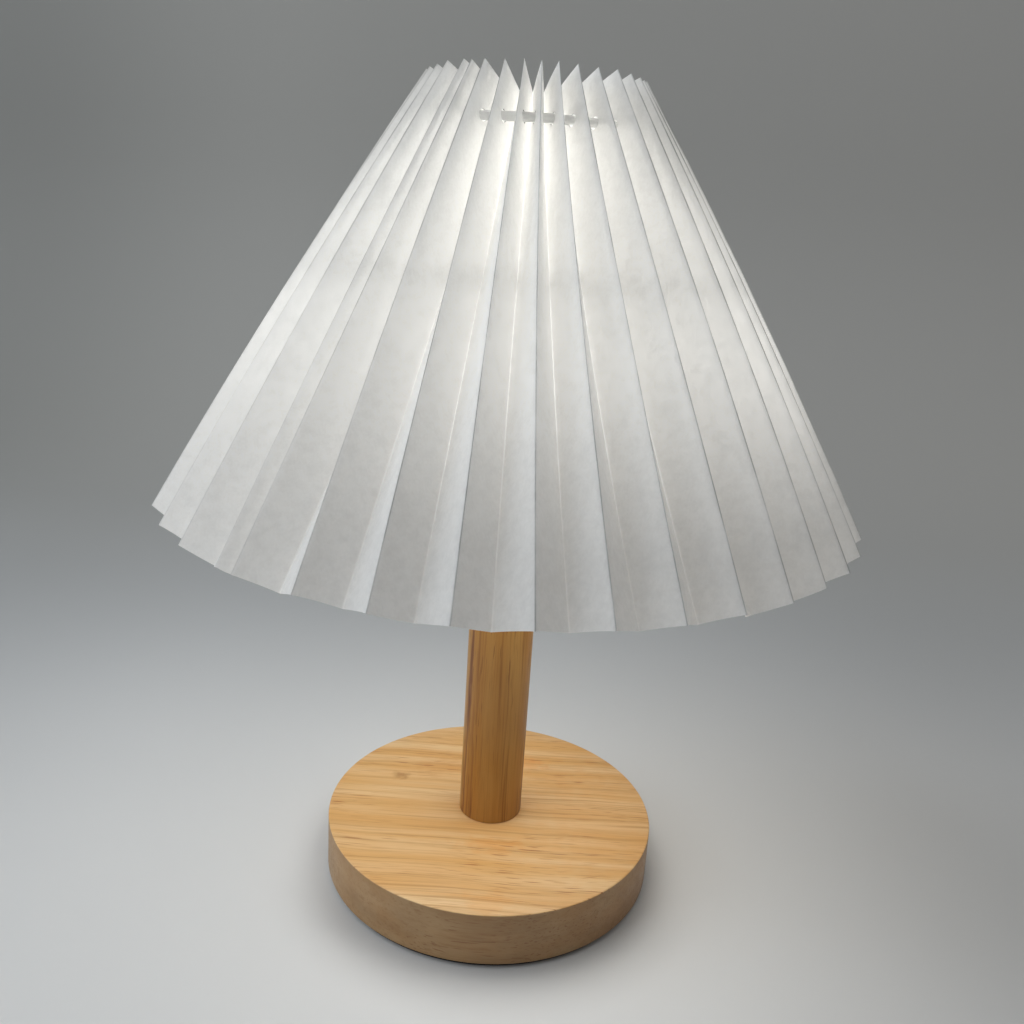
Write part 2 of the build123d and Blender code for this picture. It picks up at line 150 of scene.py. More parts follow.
def turned(name: str, outline: Sequence[Point], steps: int = 96, round_by: float = 0.0) -> bpy.types.Object:
    """Spins a closed outline round the Z axis, as on a lathe.

    Args:
        name: the piece's name.
        outline: (radius, height) points in millimetres.
        steps: number of steps round the axis.
        round_by: rounding of the sharp edges in millimetres.

    Returns:
        The finished mesh object.
    """
    deselect()
    bpy.ops.mesh.primitive_circle_add(vertices=len(outline), radius=1.0, fill_type="NOTHING")
    piece = bpy.context.object
    piece.name = name
    for vertex, (radius, height) in zip(piece.data.vertices, outline):
        vertex.co = Vector((radius * MM, 0.0, height * MM))
    bpy.ops.object.mode_set(mode="EDIT")
    bpy.ops.mesh.select_all(action="SELECT")
    bpy.ops.mesh.spin(steps=steps, angle=FULL_TURN, center=(0, 0, 0), axis=(0, 0, 1))
    bpy.ops.object.mode_set(mode="OBJECT")
    tidy_shell(piece)
    if round_by:
        soften_edges(piece, round_by)
    smooth(piece)
    return piece


def hoop(name: str, centre: Point, wire_radius: float, steps: int) -> bpy.types.Object:
    """A round wire closed to a ring about the lamp's middle line."""
    return turned(name, arc(centre, wire_radius, 0, 345, 24), steps)


def reshape(piece: bpy.types.Object, move: Callable[[Vector], Vector]) -> None:
    """Moves every vertex of a piece.

    Args:
        piece: the mesh to shape.
        move: gives the new place of a point, both in metres.
    """
    for vertex in piece.data.vertices:
        vertex.co = move(vertex.co.copy())
    piece.data.update()


def pressed(co: Vector, depth: float) -> Vector:
    """A point in metres, moved towards the lamp's middle line by a depth in millimetres."""
    shrink = 1 - depth / (math.hypot(co.x, co.y) / MM)
    return Vector((co.x * shrink, co.y * shrink, co.z))


def cut_thread(piece: bpy.types.Object, radius: float, pitch: float, depth: float, heights: Point) -> None:
    """Presses a round screw thread into the outside of a piece.

    Args:
        piece: the turned mesh.
        radius: the outside that takes the thread.
        pitch: the thread's rise in one turn.
        depth: how deep it goes.
        heights: where it starts and ends.
    """

    def move(co: Vector) -> Vector:
        """Presses one point in.

        Args:
            co: the point.

        Returns:
            Its new place.
        """
        height = co.z / MM
        if abs(math.hypot(co.x, co.y) / MM - radius) > 0.1 or not heights[0] < height < heights[1]:
            return co
        wave = 0.5 - 0.5 * math.cos(FULL_TURN * height / pitch - math.atan2(co.y, co.x))
        return pressed(co, depth * wave)

    reshape(piece, move)


def wire(name: str, points: Sequence[Vector], radius: float, bend: float) -> bpy.types.Object:
    """Bends a round wire along a path.

    Args:
        name: the piece's name.
        points: corners of the path in millimetres.
        radius: the wire's radius in millimetres.
        bend: how far from each corner the bend starts, in millimetres.

    Returns:
        The wire as a closed mesh.
    """
    path = [points[0]]
    for before, corner, after in zip(points, points[1:], points[2:]):
        start = corner + (before - corner).normalized() * bend
        end = corner + (after - corner).normalized() * bend
        for step in range(7):
            t = step / 6
            path.append(start * (1 - t) ** 2 + corner * 2 * t * (1 - t) + end * t**2)
    path.append(points[-1])
    deselect()
    bpy.ops.curve.primitive_nurbs_path_add()
    bpy.context.object.name = name
    curve = bpy.context.object.data
    curve.splines.clear()
    spline = curve.splines.new("POLY")
    spline.points.add(len(path) - 1)
    for place, spot in zip(spline.points, path):
        place.co = (*(spot * MM), 1.0)
    curve.dimensions = "3D"
    curve.bevel_depth = radius * MM
    curve.bevel_resolution = 4
    curve.use_fill_caps = True
    bpy.ops.object.convert(target="MESH")
    piece = bpy.context.object
    tidy_shell(piece)
    smooth(piece)
    return piece


def joined(name: str, pieces: Sequence[bpy.types.Object]) -> bpy.types.Object:
    """Joins several meshes into one.

    Args:
        name: the new piece's name.
        pieces: the meshes, of which the first takes up the others.

    Returns:
        The joined piece.
    """
    deselect()
    for piece in pieces:
        piece.select_set(True)
    bpy.context.view_layer.objects.active = pieces[0]
    bpy.ops.object.join()
    bpy.context.object.name = name
    return bpy.context.object


def cut_hole(piece: bpy.types.Object, cutter: bpy.types.Object) -> None:
    """Cuts one closed mesh out of another and removes the cutter."""
    apply_modifier(piece, "BOOLEAN", operation="DIFFERENCE", object=cutter, solver="EXACT")
    bpy.data.objects.remove(cutter)


def dress(piece: bpy.types.Object, material: bpy.types.Material) -> None:
    """Gives a whole piece one material."""
    piece.data.materials.clear()
    piece.data.materials.append(material)


# ---------------------------------------------------------------- shader helpers
class Recipe:
    """Adds and joins the nodes of one material or node group."""

    def __init__(self, tree: bpy.types.NodeTree) -> None:
        """Starts on an existing tree."""
        self.tree = tree

    def node(self, kind: str, inputs: Optional[dict[Any, Any]] = None, **settings: Any) -> bpy.types.Node:
        """Adds a node.

        Args:
            kind: the node's type, without ShaderNode in front.
            inputs: values or sockets for its inputs, by name or number.
            settings: the node's own settings.

        Returns:
            The new node.
        """
        made = self.tree.nodes.new(f"ShaderNode{kind}")
        for name, value in settings.items():
            setattr(made, name, value)
        for name, value in (inputs or {}).items():
            if isinstance(value, Socket):
                self.tree.links.new(value, made.inputs[name])
            else:
                made.inputs[name].default_value = value
        return made

    def math(self, operation: str, first: Value, second: Value = 0.0) -> Socket:
        """One Math node's result."""
        return self.node("Math", {0: first, 1: second}, operation=operation).outputs[0]

    def times(self, first: Value, second: Value) -> Socket:
        """Two values multiplied."""
        return self.math("MULTIPLY", first, second)

    def plus(self, first: Value, second: Value) -> Socket:
        """Two values added."""
        return self.math("ADD", first, second)

    def minus(self, first: Value, second: Value) -> Socket:
        """The second value taken from the first."""
        return self.math("SUBTRACT", first, second)

    def ramp(self, value: Value, low: float, high: float, start: Value = 0.0, end: Value = 1.0) -> Socket:
        """A value eased from start to end while it goes from low to high.

        Args:
            value: what is read.
            low: where the change begins.
            high: where it ends.
            start: the result up to low.
            end: the result from high on.

        Returns:
            The eased value.
        """
        inputs = {"Value": value, "From Min": low, "From Max": high, "To Min": start, "To Max": end}
        return self.node("MapRange", inputs, interpolation_type="SMOOTHSTEP").outputs["Result"]

    def blend(self, factor: Value, first: Any, second: Any, mode: str = "MIX") -> Socket:
        """Two colours mixed."""
        made = self.node("Mix", {0: factor, 6: first, 7: second}, data_type="RGBA", blend_type=mode)
        return made.outputs[2]

    def noise(self, vector: Socket, scale: Any, detail: float = 3.0, roughness: float = 0.5) -> Socket:
        """A cloudy value round one half.

        Args:
            vector: the coordinates.
            scale: one scale, or one for each axis.
            detail: how many finer layers it has.
            roughness: how strong those layers are.

        Returns:
            The value.
        """
        if isinstance(scale, tuple):
            vector, scale = self.stretched(vector, scale), 1.0
        inputs = {"Vector": vector, "Scale": scale, "Detail": detail, "Roughness": roughness}
        return self.node("TexNoise", inputs).outputs["Fac"]

    def stretched(self, vector: Socket, scale: Triple, shift: Triple = (0.0, 0.0, 0.0)) -> Socket:
        """Coordinates scaled by a different amount along each axis."""
        return self.node("Mapping", {"Vector": vector, "Scale": scale, "Location": shift}).outputs[0]

    def place(self) -> Socket:
        """The piece's own coordinates in metres."""
        return self.node("TexCoord").outputs["Object"]

    def part(self, vector: Socket, axis: str) -> Socket:
        """One coordinate of a vector."""
        return self.node("SeparateXYZ", {0: vector}).outputs[axis]

    def vector(self, *parts: Value) -> Socket:
        """A vector from its coordinates."""
        return self.node("CombineXYZ", dict(enumerate(parts))).outputs[0]

    def swayed(self, vector: Socket, noise: Socket, far: float) -> Socket:
        """Coordinates pushed across the grain by up to a distance each way, following a noise."""
        move = self.vector(0.0, self.ramp(noise, 0.2, 0.8, -far, far))
        return self.node("VectorMath", {0: vector, 1: move}, operation="ADD").outputs[0]

    def length(self, vector: Socket) -> Socket:
        """How long a vector is."""
        return self.node("VectorMath", {0: vector}, operation="LENGTH").outputs["Value"]

    def bump(self, height: Socket, strength: float, distance: float) -> Socket:
        """A normal from a height, with the distance in millimetres."""
        made = self.node("Bump", {"Strength": strength, "Distance": distance * MM, "Height": height})
        return made.outputs["Normal"]

    def show(self, shader: bpy.types.Node) -> None:
        """Gives a shader to the material's surface."""
        self.node("OutputMaterial", {"Surface": shader.outputs[0]})


def rgba(colour: Colour) -> tuple[float, float, float, float]:
    """A colour with full alpha."""
    return (*colour, 1.0)


def new_material(name: str) -> tuple[bpy.types.Material, Recipe]:
    """An empty material.

    Args:
        name: the material's name.

    Returns:
        The material and its recipe.
    """
    material = bpy.data.materials.new(name)
    material.use_nodes = True
    material.node_tree.nodes.clear()
    return material, Recipe(material.node_tree)


def new_group(name: str, takes: dict[str, str]) -> tuple[Recipe, Any]:
    """An empty shader node group.

    Args:
        name: the group's name.
        takes: for each kind, such as Float, Color or Vector, the names of its inputs.

    Returns:
        Its recipe and its input sockets by name.
    """
    tree = bpy.data.node_groups.new(name, "ShaderNodeTree")
    for kind, labels in takes.items():
        for label in labels.split():
            tree.interface.new_socket(name=label, in_out="INPUT", socket_type=f"NodeSocket{kind}")
    return Recipe(tree), tree.nodes.new("NodeGroupInput").outputs


def close_group(recipe: Recipe, **gives: Socket) -> bpy.types.NodeTree:
    """Gives a node group its outputs.

    Args:
        recipe: the group's recipe.
        gives: what each output puts out; the one called Color is a colour and the others are numbers.

    Returns:
        The finished group.
    """
    for label in gives:
        kind = "NodeSocketColor" if label == "Color" else "NodeSocketFloat"
        recipe.tree.interface.new_socket(name=label, in_out="OUTPUT", socket_type=kind)
    results = recipe.tree.nodes.new("NodeGroupOutput").inputs
    for label, source in gives.items():
        recipe.tree.links.new(source, results[label])
    return recipe.tree


def build_grain_group() -> bpy.types.NodeTree:
    """Sawn wood with its grain along the first coordinate.

    Returns:
        The group.
    """
    takes = {"Vector": "Vector", "Color": "Pale Mid Dark", "Float": "Streaks Pores Veins"}
    recipe, given = new_group("Wood grain", takes)
    drift = recipe.noise(given["Vector"], (9.0, 14.0, 14.0), 2.0)
    vector = recipe.swayed(given["Vector"], drift, 0.002)
    bands = recipe.ramp(recipe.noise(vector, (5.0, 95.0, 95.0), 3.0, 0.55), 0.34, 0.66)
    lines = recipe.noise(vector, (11.0, 700.0, 700.0), 4.0, 0.6)
    streaks = recipe.times(recipe.ramp(lines, 0.50, 0.70), given["Streaks"])
    ripple = recipe.noise(vector, (48.0, 30.0, 30.0), 2.0)
    path = recipe.swayed(vector, ripple, 0.0009)
    veins = recipe.ramp(recipe.noise(path, (7.0, 330.0, 330.0), 2.0), 0.56, 0.70)
    streaks = recipe.math("MAXIMUM", streaks, recipe.times(veins, given["Veins"]))
    dashes = recipe.noise(vector, (95.0, 1900.0, 1900.0), 1.0, 0.4)
    where = recipe.ramp(recipe.noise(vector, (16.0, 60.0, 60.0), 2.0), 0.40, 0.66, 0.15, 1.0)
    pores = recipe.times(recipe.times(recipe.ramp(dashes, 0.60, 0.72), where), given["Pores"])
    cloud = recipe.noise(given["Vector"], (28.0, 60.0, 60.0))
    threads = recipe.noise(vector, (32.0, 1700.0, 1700.0), 2.0, 0.6)
    colour = recipe.blend(recipe.times(bands, 0.8), given["Pale"], given["Mid"])
    colour = recipe.blend(recipe.ramp(threads, 0.45, 0.75, 0.0, 0.30), colour, given["Dark"])
    colour = recipe.blend(recipe.ramp(cloud, 0.42, 0.75, 0.0, 0.35), colour, given["Mid"])
    colour = recipe.blend(streaks, colour, given["Dark"])
    colour = recipe.blend(pores, colour, given["Dark"], "MULTIPLY")
    rough = recipe.ramp(lines, 0.3, 0.8, 0.40, 0.52)
    height = recipe.minus(recipe.times(lines, 0.3), pores)
    return close_group(recipe, Color=colour, Roughness=rough, Height=height)


def build_cloud_group() -> bpy.types.NodeTree:
    """Handmade-looking paper: soft patches where the pulp is thicker, with fibres in it.

    Returns:
        The group.
    """
    recipe, given = new_group("Paper cloud", {"Vector": "Vector", "Float": "Patch"})
    wide = recipe.noise(given["Vector"], 75.0, 2.0)
    patches = recipe.noise(given["Vector"], 380.0, 3.0, 0.6)
    grit = recipe.noise(given["Vector"], 1300.0, 2.0, 0.6)
    cloud = recipe.plus(recipe.ramp(patches, 0.25, 0.75), recipe.ramp(grit, 0.2, 0.8, -0.35, 0.35))
    cloud = recipe.plus(cloud, recipe.ramp(wide, 0.3, 0.7, -0.14, 0.14))
    hairs = recipe.noise(given["Vector"], (1500.0, 1500.0, 320.0), 2.0, 0.6)
    fibre = recipe.ramp(hairs, 0.30, 0.74)
    return close_group(recipe, Cloud=recipe.times(cloud, given["Patch"]), Fibre=fibre)


def build_skin_group() -> bpy.types.NodeTree:
    """Small unevenness of a moulded, plated or painted surface, with handling marks.

    Returns:
        The group.
    """
    takes = {"Vector": "Vector", "Color": "Base", "Float": "Scale Shine Marks"}
    recipe, given = new_group("Fine skin", takes)
    fine = recipe.noise(given["Vector"], given["Scale"])
    marks = recipe.noise(given["Vector"], 55.0, 4.0, 0.65)
    wear_and_crease_patchiness = recipe.times(recipe.ramp(marks, 0.52, 0.75), given["Marks"])
    shade = recipe.blend(recipe.times(wear_and_crease_patchiness, 0.5), given["Base"], (0.35, 0.34, 0.32, 1.0), "MULTIPLY")
    spread = recipe.ramp(fine, 0.2, 0.8, -0.05, 0.05)
    rough = recipe.plus(recipe.plus(given["Shine"], spread), recipe.times(wear_and_crease_patchiness, 0.25))
    return close_group(recipe, Color=shade, Roughness=recipe.math("MAXIMUM", rough, 0.05), Height=fine)


GRAIN = build_grain_group()
CLOUD = build_cloud_group()
SKIN = build_skin_group()


# ---------------------------------------------------------------- finishes
class GrainAxis(Enum):
    """Which way a piece of wood was cut."""

    ALONG_X = "XYZ"
    ALONG_Z = "ZXY"


@dataclass(frozen=True)
class Mark:
    """A stain or knot on the wood: its place and half size in millimetres, its tint and how strong it is."""

    x: float
    y: float
    length: float
    width: float
    tint: Colour
    strength: float

    def stain(self, recipe: Recipe, place: Socket, colour: Socket) -> Socket:
        """Tints the wood inside the mark.

        Args:
            recipe: the wood's recipe.
            place: the piece's own coordinates.
            colour: the wood without the mark.

        Returns:
            The colour with the mark.
        """
        scale = (1 / (self.length * MM), 1 / (self.width * MM), 0.0)
        shift = (-self.x / self.length, -self.y / self.width, 0.0)
        ragged = recipe.ramp(recipe.noise(place, 260.0), 0.2, 0.8, -0.35, 0.35)
        far = recipe.plus(recipe.length(recipe.stretched(place, scale, shift)), ragged)
        inside = recipe.ramp(far, 1.0, 0.1, 0.0, self.strength)
        return recipe.blend(inside, colour, rgba(self.tint), "MULTIPLY")


@dataclass(frozen=True)
class WoodFinish:
    """Clear-lacquered rubberwood."""

    name: str
    pale: Colour
    mid: Colour
    dark: Colour
    axis: GrainAxis
    streaks: float
    pores: float
    veins: float
    shift: Triple = (0.0, 0.0, 0.0)
    # the side below the top's level: a greyer, duller tone with the edge grain's arcs, which is painted shade
    # and cooler light on the turned edge
    side: Optional[Colour] = None
    side_arcs: Colour = (0.41, 0.365, 0.33)
    side_below: float = 0.0
    marks: tuple[Mark, ...] = ()

    def material(self) -> bpy.types.Material:
        """Builds the wood's material.

        Returns:
            The material.
        """
        material, recipe = new_material(self.name)
        place = recipe.place()
        shifted = recipe.stretched(place, (1.0, 1.0, 1.0), self.shift)
        values = {
            "Vector": recipe.vector(*(recipe.part(shifted, axis) for axis in self.axis.value)),
            "Pale": rgba(self.pale),
            "Mid": rgba(self.mid),
            "Dark": rgba(self.dark),
            "Streaks": self.streaks,
            "Pores": self.pores,
            "Veins": self.veins,
        }
        grain = recipe.node("Group", values, node_tree=GRAIN).outputs
        colour = grain["Color"]
        for mark in self.marks:
            colour = mark.stain(recipe, place, colour)
        # painted shade on the side: below the top's level the grain is paled, greyed and dulled, with the
        # edge grain's arcs
        if self.side:
            level = self.side_below
            below = recipe.ramp(recipe.part(place, "Z"), (level - 0.15) * MM, (level + 0.15) * MM, 1.0, 0.0)
            arcs = recipe.ramp(recipe.noise(place, (26.0, 26.0, 90.0), 4.0, 0.6), 0.36, 0.66)
            tint = recipe.blend(arcs, rgba(self.side), rgba(self.side_arcs))
            edge = recipe.blend(1.0, recipe.blend(0.4, colour, rgba(self.pale)), tint, "MULTIPLY")
            colour = recipe.blend(below, colour, edge)
        lacquer = {
            "Base Color": colour,
            "Roughness": grain["Roughness"],
            "Normal": recipe.bump(grain["Height"], 0.25, 0.06),
            "Coat Weight": 0.06,
            "Coat Roughness": 0.35,
        }
        recipe.show(recipe.node("BsdfPrincipled", lacquer))
        return material


@dataclass(frozen=True)
class SolidFinish:
    """A moulded, painted or metal finish."""

    name: str
    colour: Colour
    roughness: float
    metallic: float = 0.0
    grit: float = 900.0
    marks: float = 0.3
    relief: float = 0.01
    lets_through: float = 0.0

    def material(self) -> bpy.types.Material:
        """Builds the finish's material.

        Returns:
            The material.
        """
        material, recipe = new_material(self.name)
        values = {
            "Vector": recipe.place(),
            "Base": rgba(self.colour),
            "Scale": self.grit,
            "Shine": self.roughness,
            "Marks": self.marks,
        }
        skin = recipe.node("Group", values, node_tree=SKIN).outputs
        surface = {
            "Base Color": skin["Color"],
            "Roughness": skin["Roughness"],
            "Metallic": self.metallic,
            "Normal": recipe.bump(skin["Height"], 0.3, self.relief),
        }
        shader = recipe.node("BsdfPrincipled", surface)
        if self.lets_through:
            behind = recipe.node("BsdfTranslucent", {"Color": skin["Color"]}).outputs[0]
            shader = recipe.node("MixShader", {0: self.lets_through, 1: shader.outputs[0], 2: behind})
        recipe.show(shader)
        return material


@dataclass(frozen=True)
class GlowFinish:
    """The opal globe of a lit bulb, a little fainter towards the collar. Heights are in millimetres."""

    name: str = "Opal globe"
    colour: Colour = (0.97, 0.97, 0.95)
    light: Colour = (1.0, 0.985, 0.955)
    strength: float = 7.6
    faint_up_to: float = 222.0
    full_from: float = 240.0

    def material(self) -> bpy.types.Material:
        """Builds the glowing material.

        Returns:
            The material.
        """
        material, recipe = new_material(self.name)
        place = recipe.place()
        fade = recipe.ramp(recipe.part(place, "Z"), self.faint_up_to * MM, self.full_from * MM, 0.75, 1.0)
        speckle = recipe.ramp(recipe.noise(place, 300.0, 2.0), 0.2, 0.8, 0.97, 1.03)
        level = recipe.times(fade, speckle)
        glow = recipe.blend(1.0, rgba(self.light), recipe.vector(level, level, level), "MULTIPLY")
        surface = {
            "Base Color": rgba(self.colour),
            "Roughness": 0.45,
            "Emission Color": glow,
            "Emission Strength": self.strength,
        }
        recipe.show(recipe.node("BsdfPrincipled", surface))
        return material


@dataclass(frozen=True)
class PaperFinish:
    """Thin white pulp paper that lets half of the bulb's light through.

    Heights and widths are in millimetres. The glow is painted light, put in the paper's emission: it stands
    for light that goes to and fro inside the shade, with painted room light added at the left, the sides and
    the edges, and a painted shadow band where the support ring sits.
    """

    name: str = "Pleated paper"
    outside: Colour = (0.90, 0.90, 0.895)
    through: Colour = (0.97, 0.965, 0.95)
    share_through: float = 0.5
    wall_width: float = 11.6
    crease: float = 0.40
    glow: Colour = (1.0, 0.99, 0.955)
    glow_rim: float = 0.060
    glow_most: float = 0.118
    glow_foot: float = 0.025
    glow_foot_left: float = 0.054
    rim_height: float = 262.0
    most_height: float = 204.0
    foot_height: float = 147.0
    # painted shadow of the support ring: its height, half width and depth
    ring_shadow_height: float = 217.5
    ring_shadow_width: float = 5.0
    ring_shadow_depth: float = 0.16
    cone_radius: float = 203.84
    cone_slope: float = 0.6215
    # painted room light: gains on the sides and edges, left and right, and a tilt brighter to the left
    side_light_gain: Point = (0.36, 0.42)
    edge_light_gain: Point = (0.26, 0.42)
    light_tilt: Point = (1.05, 0.97)
    # how much of the painted crease shade at the outer folds stays on the left, where light falls on those
    # folds
    left_lines: float = 0.3

    def glow_level(self, recipe: Recipe, place: Socket) -> Socket:
        """How brightly the paper's painted glow shines at each height and side: painted room light on the
        left, the sides and the edges, and the painted soft shadow of the support ring.

        Args:
            recipe: the paper's recipe.
            place: the piece's own coordinates.

        Returns:
            The level.
        """
        height = recipe.part(place, "Z")
        sideways = recipe.part(place, "X")
        # painted light: the foot of the paper glows more on the left
        foot = recipe.ramp(sideways, -0.09, -0.01, self.glow_foot_left, self.glow_foot)
        fall = recipe.ramp(height, self.foot_height * MM, self.most_height * MM, foot, self.glow_most)
        rim_share = self.glow_rim / self.glow_most
        rise = recipe.ramp(height, self.most_height * MM, self.rim_height * MM, 1.0, rim_share)
        # painted shadow of the support ring
        off = recipe.math("ABSOLUTE", recipe.minus(height, self.ring_shadow_height * MM))
        ring_shadow = recipe.ramp(off, 0.0, self.ring_shadow_width * MM, 1.0 - self.ring_shadow_depth, 1.0)
        # painted room light, stronger towards the shade's sides and edges and on the left
        radius = recipe.minus(self.cone_radius * MM, recipe.times(height, self.cone_slope))
        share = recipe.math("ABSOLUTE", recipe.math("DIVIDE", sideways, radius))
        edge_light_gain = recipe.ramp(sideways, -0.02, 0.02, *self.edge_light_gain)
        edge = recipe.times(recipe.ramp(share, 0.55, 1.0), edge_light_gain)
        spread = recipe.ramp(recipe.math("ABSOLUTE", recipe.plus(sideways, 0.008)), 0.020, 0.095)
        side = recipe.times(spread, recipe.ramp(sideways, -0.02, 0.02, *self.side_light_gain))
        level = recipe.times(recipe.times(fall, rise), ring_shadow)
        tilted = recipe.times(level, recipe.ramp(sideways, -0.09, 0.09, *self.light_tilt))
        return recipe.times(tilted, recipe.plus(recipe.plus(side, edge), 1.0))

    def crease_line(self, recipe: Recipe, away: Socket, wear_and_crease_patchiness: Socket) -> Socket:
        """A painted crease line along a fold, patchy along its length, from the distance to that fold in
        millimetres: painted light at the inner folds and painted shade at the outer folds.
        """
        return recipe.times(recipe.ramp(away, self.crease * 0.3, self.crease, 1.0, 0.0), wear_and_crease_patchiness)

    def material(self) -> bpy.types.Material:
        """Builds the material. The UV map counts walls across, with an outer fold at each even number.

        Returns:
            The material.
        """
        material, recipe = new_material(self.name)
        place = recipe.place()
        cloud = recipe.node("Group", {"Vector": place, "Patch": 1.0}, node_tree=CLOUD).outputs
        patches, fibres = cloud["Cloud"], cloud["Fibre"]
        across = recipe.part(recipe.node("UVMap").outputs[0], "X")
        turn = recipe.math("ABSOLUTE", recipe.minus(recipe.math("FRACT", recipe.times(across, 0.5)), 0.5))
        to_inner = recipe.times(turn, 2 * self.wall_width)
        to_outer = recipe.minus(self.wall_width, to_inner)
        wear_and_crease_patchiness = recipe.ramp(recipe.noise(place, 38.0, 3.0, 0.6), 0.32, 0.68, 0.35, 1.0)
        # painted light along the inner folds and painted shade along the outer folds; the outer crease shade
        # is weaker on the left, where light falls on those folds
        inner_crease_light = self.crease_line(recipe, to_inner, wear_and_crease_patchiness)
        left_crease_fade = recipe.ramp(recipe.part(place, "X"), -0.07, 0.0, self.left_lines, 1.0)
        outer_crease_shade = recipe.times(self.crease_line(recipe, to_outer, wear_and_crease_patchiness), left_crease_fade)
        pulp, thin = rgba(self.outside), rgba(self.through)
        # the outside colour: paper cloud and fibres, then the painted crease shade
        for mask, strength, colour in (
            (patches, 0.22, (0.80, 0.80, 0.795)),
            (fibres, 0.15, (0.78, 0.78, 0.77)),
            (outer_crease_shade, 0.6, (0.24, 0.235, 0.23)),
        ):
            pulp = recipe.blend(recipe.times(mask, strength), pulp, rgba(colour))
        # the colour seen through: paper cloud and fibres, the painted crease shade and the painted light
        # along the inner folds
        for mask, strength, colour in (
            (patches, 0.32, (0.74, 0.735, 0.72)),
            (fibres, 0.15, (0.70, 0.70, 0.68)),
            (outer_crease_shade, 0.65, (0.20, 0.195, 0.19)),
            (inner_crease_light, 0.8, (1.0, 1.0, 0.99)),
        ):
            thin = recipe.blend(recipe.times(mask, strength), thin, rgba(colour))
        # the painted glow, brighter towards the inner folds and darker on the painted crease shade
        level = recipe.times(self.glow_level(recipe, place), 1.0 / (1.0 - self.share_through))
        for gain in (
            recipe.ramp(to_inner, 0.0, self.wall_width, 1.08, 0.92),
            recipe.ramp(patches, 0.0, 1.0, 1.06, 0.93),
            recipe.plus(recipe.times(inner_crease_light, 1.3), 1.0),
            recipe.minus(1.0, recipe.times(outer_crease_shade, 0.6)),
        ):
            level = recipe.times(level, gain)
        relief = recipe.bump(recipe.plus(patches, recipe.times(fibres, 0.5)), 0.12, 0.04)
        surface = {
            "Base Color": pulp,
            "Roughness": 0.85,
            "Specular IOR Level": 0.2,
            "Normal": relief,
            "Emission Color": rgba(self.glow),
            "Emission Strength": level,
        }
        skin = recipe.node("BsdfPrincipled", surface).outputs[0]
        behind = recipe.node("BsdfTranslucent", {"Color": thin, "Normal": relief}).outputs[0]
        recipe.show(recipe.node("MixShader", {0: self.share_through, 1: skin, 2: behind}))
        return material


BASE_WOOD = WoodFinish(
    name="Base wood",
    pale=(0.87, 0.59, 0.295),
    mid=(0.76, 0.395, 0.115),
    dark=(0.53, 0.235, 0.06),
    axis=GrainAxis.ALONG_X,
    streaks=0.54,
    pores=0.85,
    veins=0.25,
    # the base's side: painted shade and cooler light over the edge grain
    side=(0.49, 0.45, 0.42),
    side_below=20.3,
    marks=(
        Mark(-36.3, 16.9, 5.5, 3.2, (0.55, 0.38, 0.22), 0.75),
        Mark(14.5, 30.9, 10.0, 7.0, (1.0, 0.66, 0.32), 0.45),
        Mark(0.9, -23.9, 16.0, 6.0, (1.0, 0.70, 0.36), 0.45),
        Mark(2.1, -55.0, 14.0, 8.0, (1.0, 0.74, 0.42), 0.35),
        Mark(44.0, -4.0, 40.0, 62.0, (1.0, 0.87, 0.72), 0.4),
        Mark(-20.0, 24.0, 18.0, 9.0, (0.86, 0.70, 0.55), 0.35),
    ),
)
POST_WOOD = WoodFinish(
    name="Post wood",
    pale=(0.51, 0.268, 0.066),
    mid=(0.40, 0.165, 0.021),
    dark=(0.20, 0.062, 0.010),
    axis=GrainAxis.ALONG_Z,
    streaks=0.6,
    pores=0.7,
    veins=0.95,
    shift=(0.013, 0.002, 0.021),
)
FINISHES = {
    "base_wood": BASE_WOOD,
    "post_wood": POST_WOOD,
    "shade_paper": PaperFinish(),
    "opal_globe": GlowFinish(),
    "black_foam": SolidFinish("Foam pad", (0.018, 0.018, 0.019), 0.9, grit=1400.0, marks=0.2, relief=0.05),
    "black_plastic": SolidFinish("Black plastic", (0.03, 0.03, 0.03), 0.5),
    "zinced_steel": SolidFinish("Zinced steel", (0.62, 0.62, 0.60), 0.38, metallic=1.0, marks=0.6),
    "holder_plastic": SolidFinish("Lampholder plastic", (0.84, 0.84, 0.82), 0.35, marks=0.25),
    "block_ceramic": SolidFinish("Block ceramic", (0.82, 0.80, 0.75), 0.7),
    "nickel_plate": SolidFinish("Nickel plate", (0.70, 0.69, 0.66), 0.25, metallic=1.0, marks=0.5),
    "contact_brass": SolidFinish("Contact brass", (0.78, 0.58, 0.26), 0.3, metallic=1.0, marks=0.5),
    "frame_paint": SolidFinish("Frame paint", (0.88, 0.88, 0.87), 0.4, marks=0.2),
    "ring_plastic": SolidFinish("Ring plastic", (0.86, 0.86, 0.85), 0.35, marks=0.15, lets_through=0.5),
    "collar_plastic": SolidFinish("Collar plastic", (0.88, 0.88, 0.87), 0.45, marks=0.2),
    "board_aluminium": SolidFinish("Board aluminium", (0.78, 0.78, 0.76), 0.45, metallic=1.0),
    "board_laminate": SolidFinish("Board laminate", (0.10, 0.30, 0.17), 0.5),
}


@cache
def material_of(slot: str) -> bpy.types.Material:
    """The material of one of the record's slots, built when it is first asked for."""
    return FINISHES[slot].material()


def settle(piece: bpy.types.Object, body: str, slot: str, *nodes: str) -> None:
    """Dresses a new piece, fixes it to its body and hides the CAD nodes that it stands for.

    Args:
        piece: the new piece.
        body: the CAD body that it moves with.
        slot: the record's material slot.
        nodes: CAD nodes that it replaces.
    """
    dress(piece, material_of(slot))
    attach(piece, body)
    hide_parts(*nodes)
    log.info("%s: %d faces, on %s, for %s", piece.name, len(piece.data.polygons), body, ", ".join(nodes))


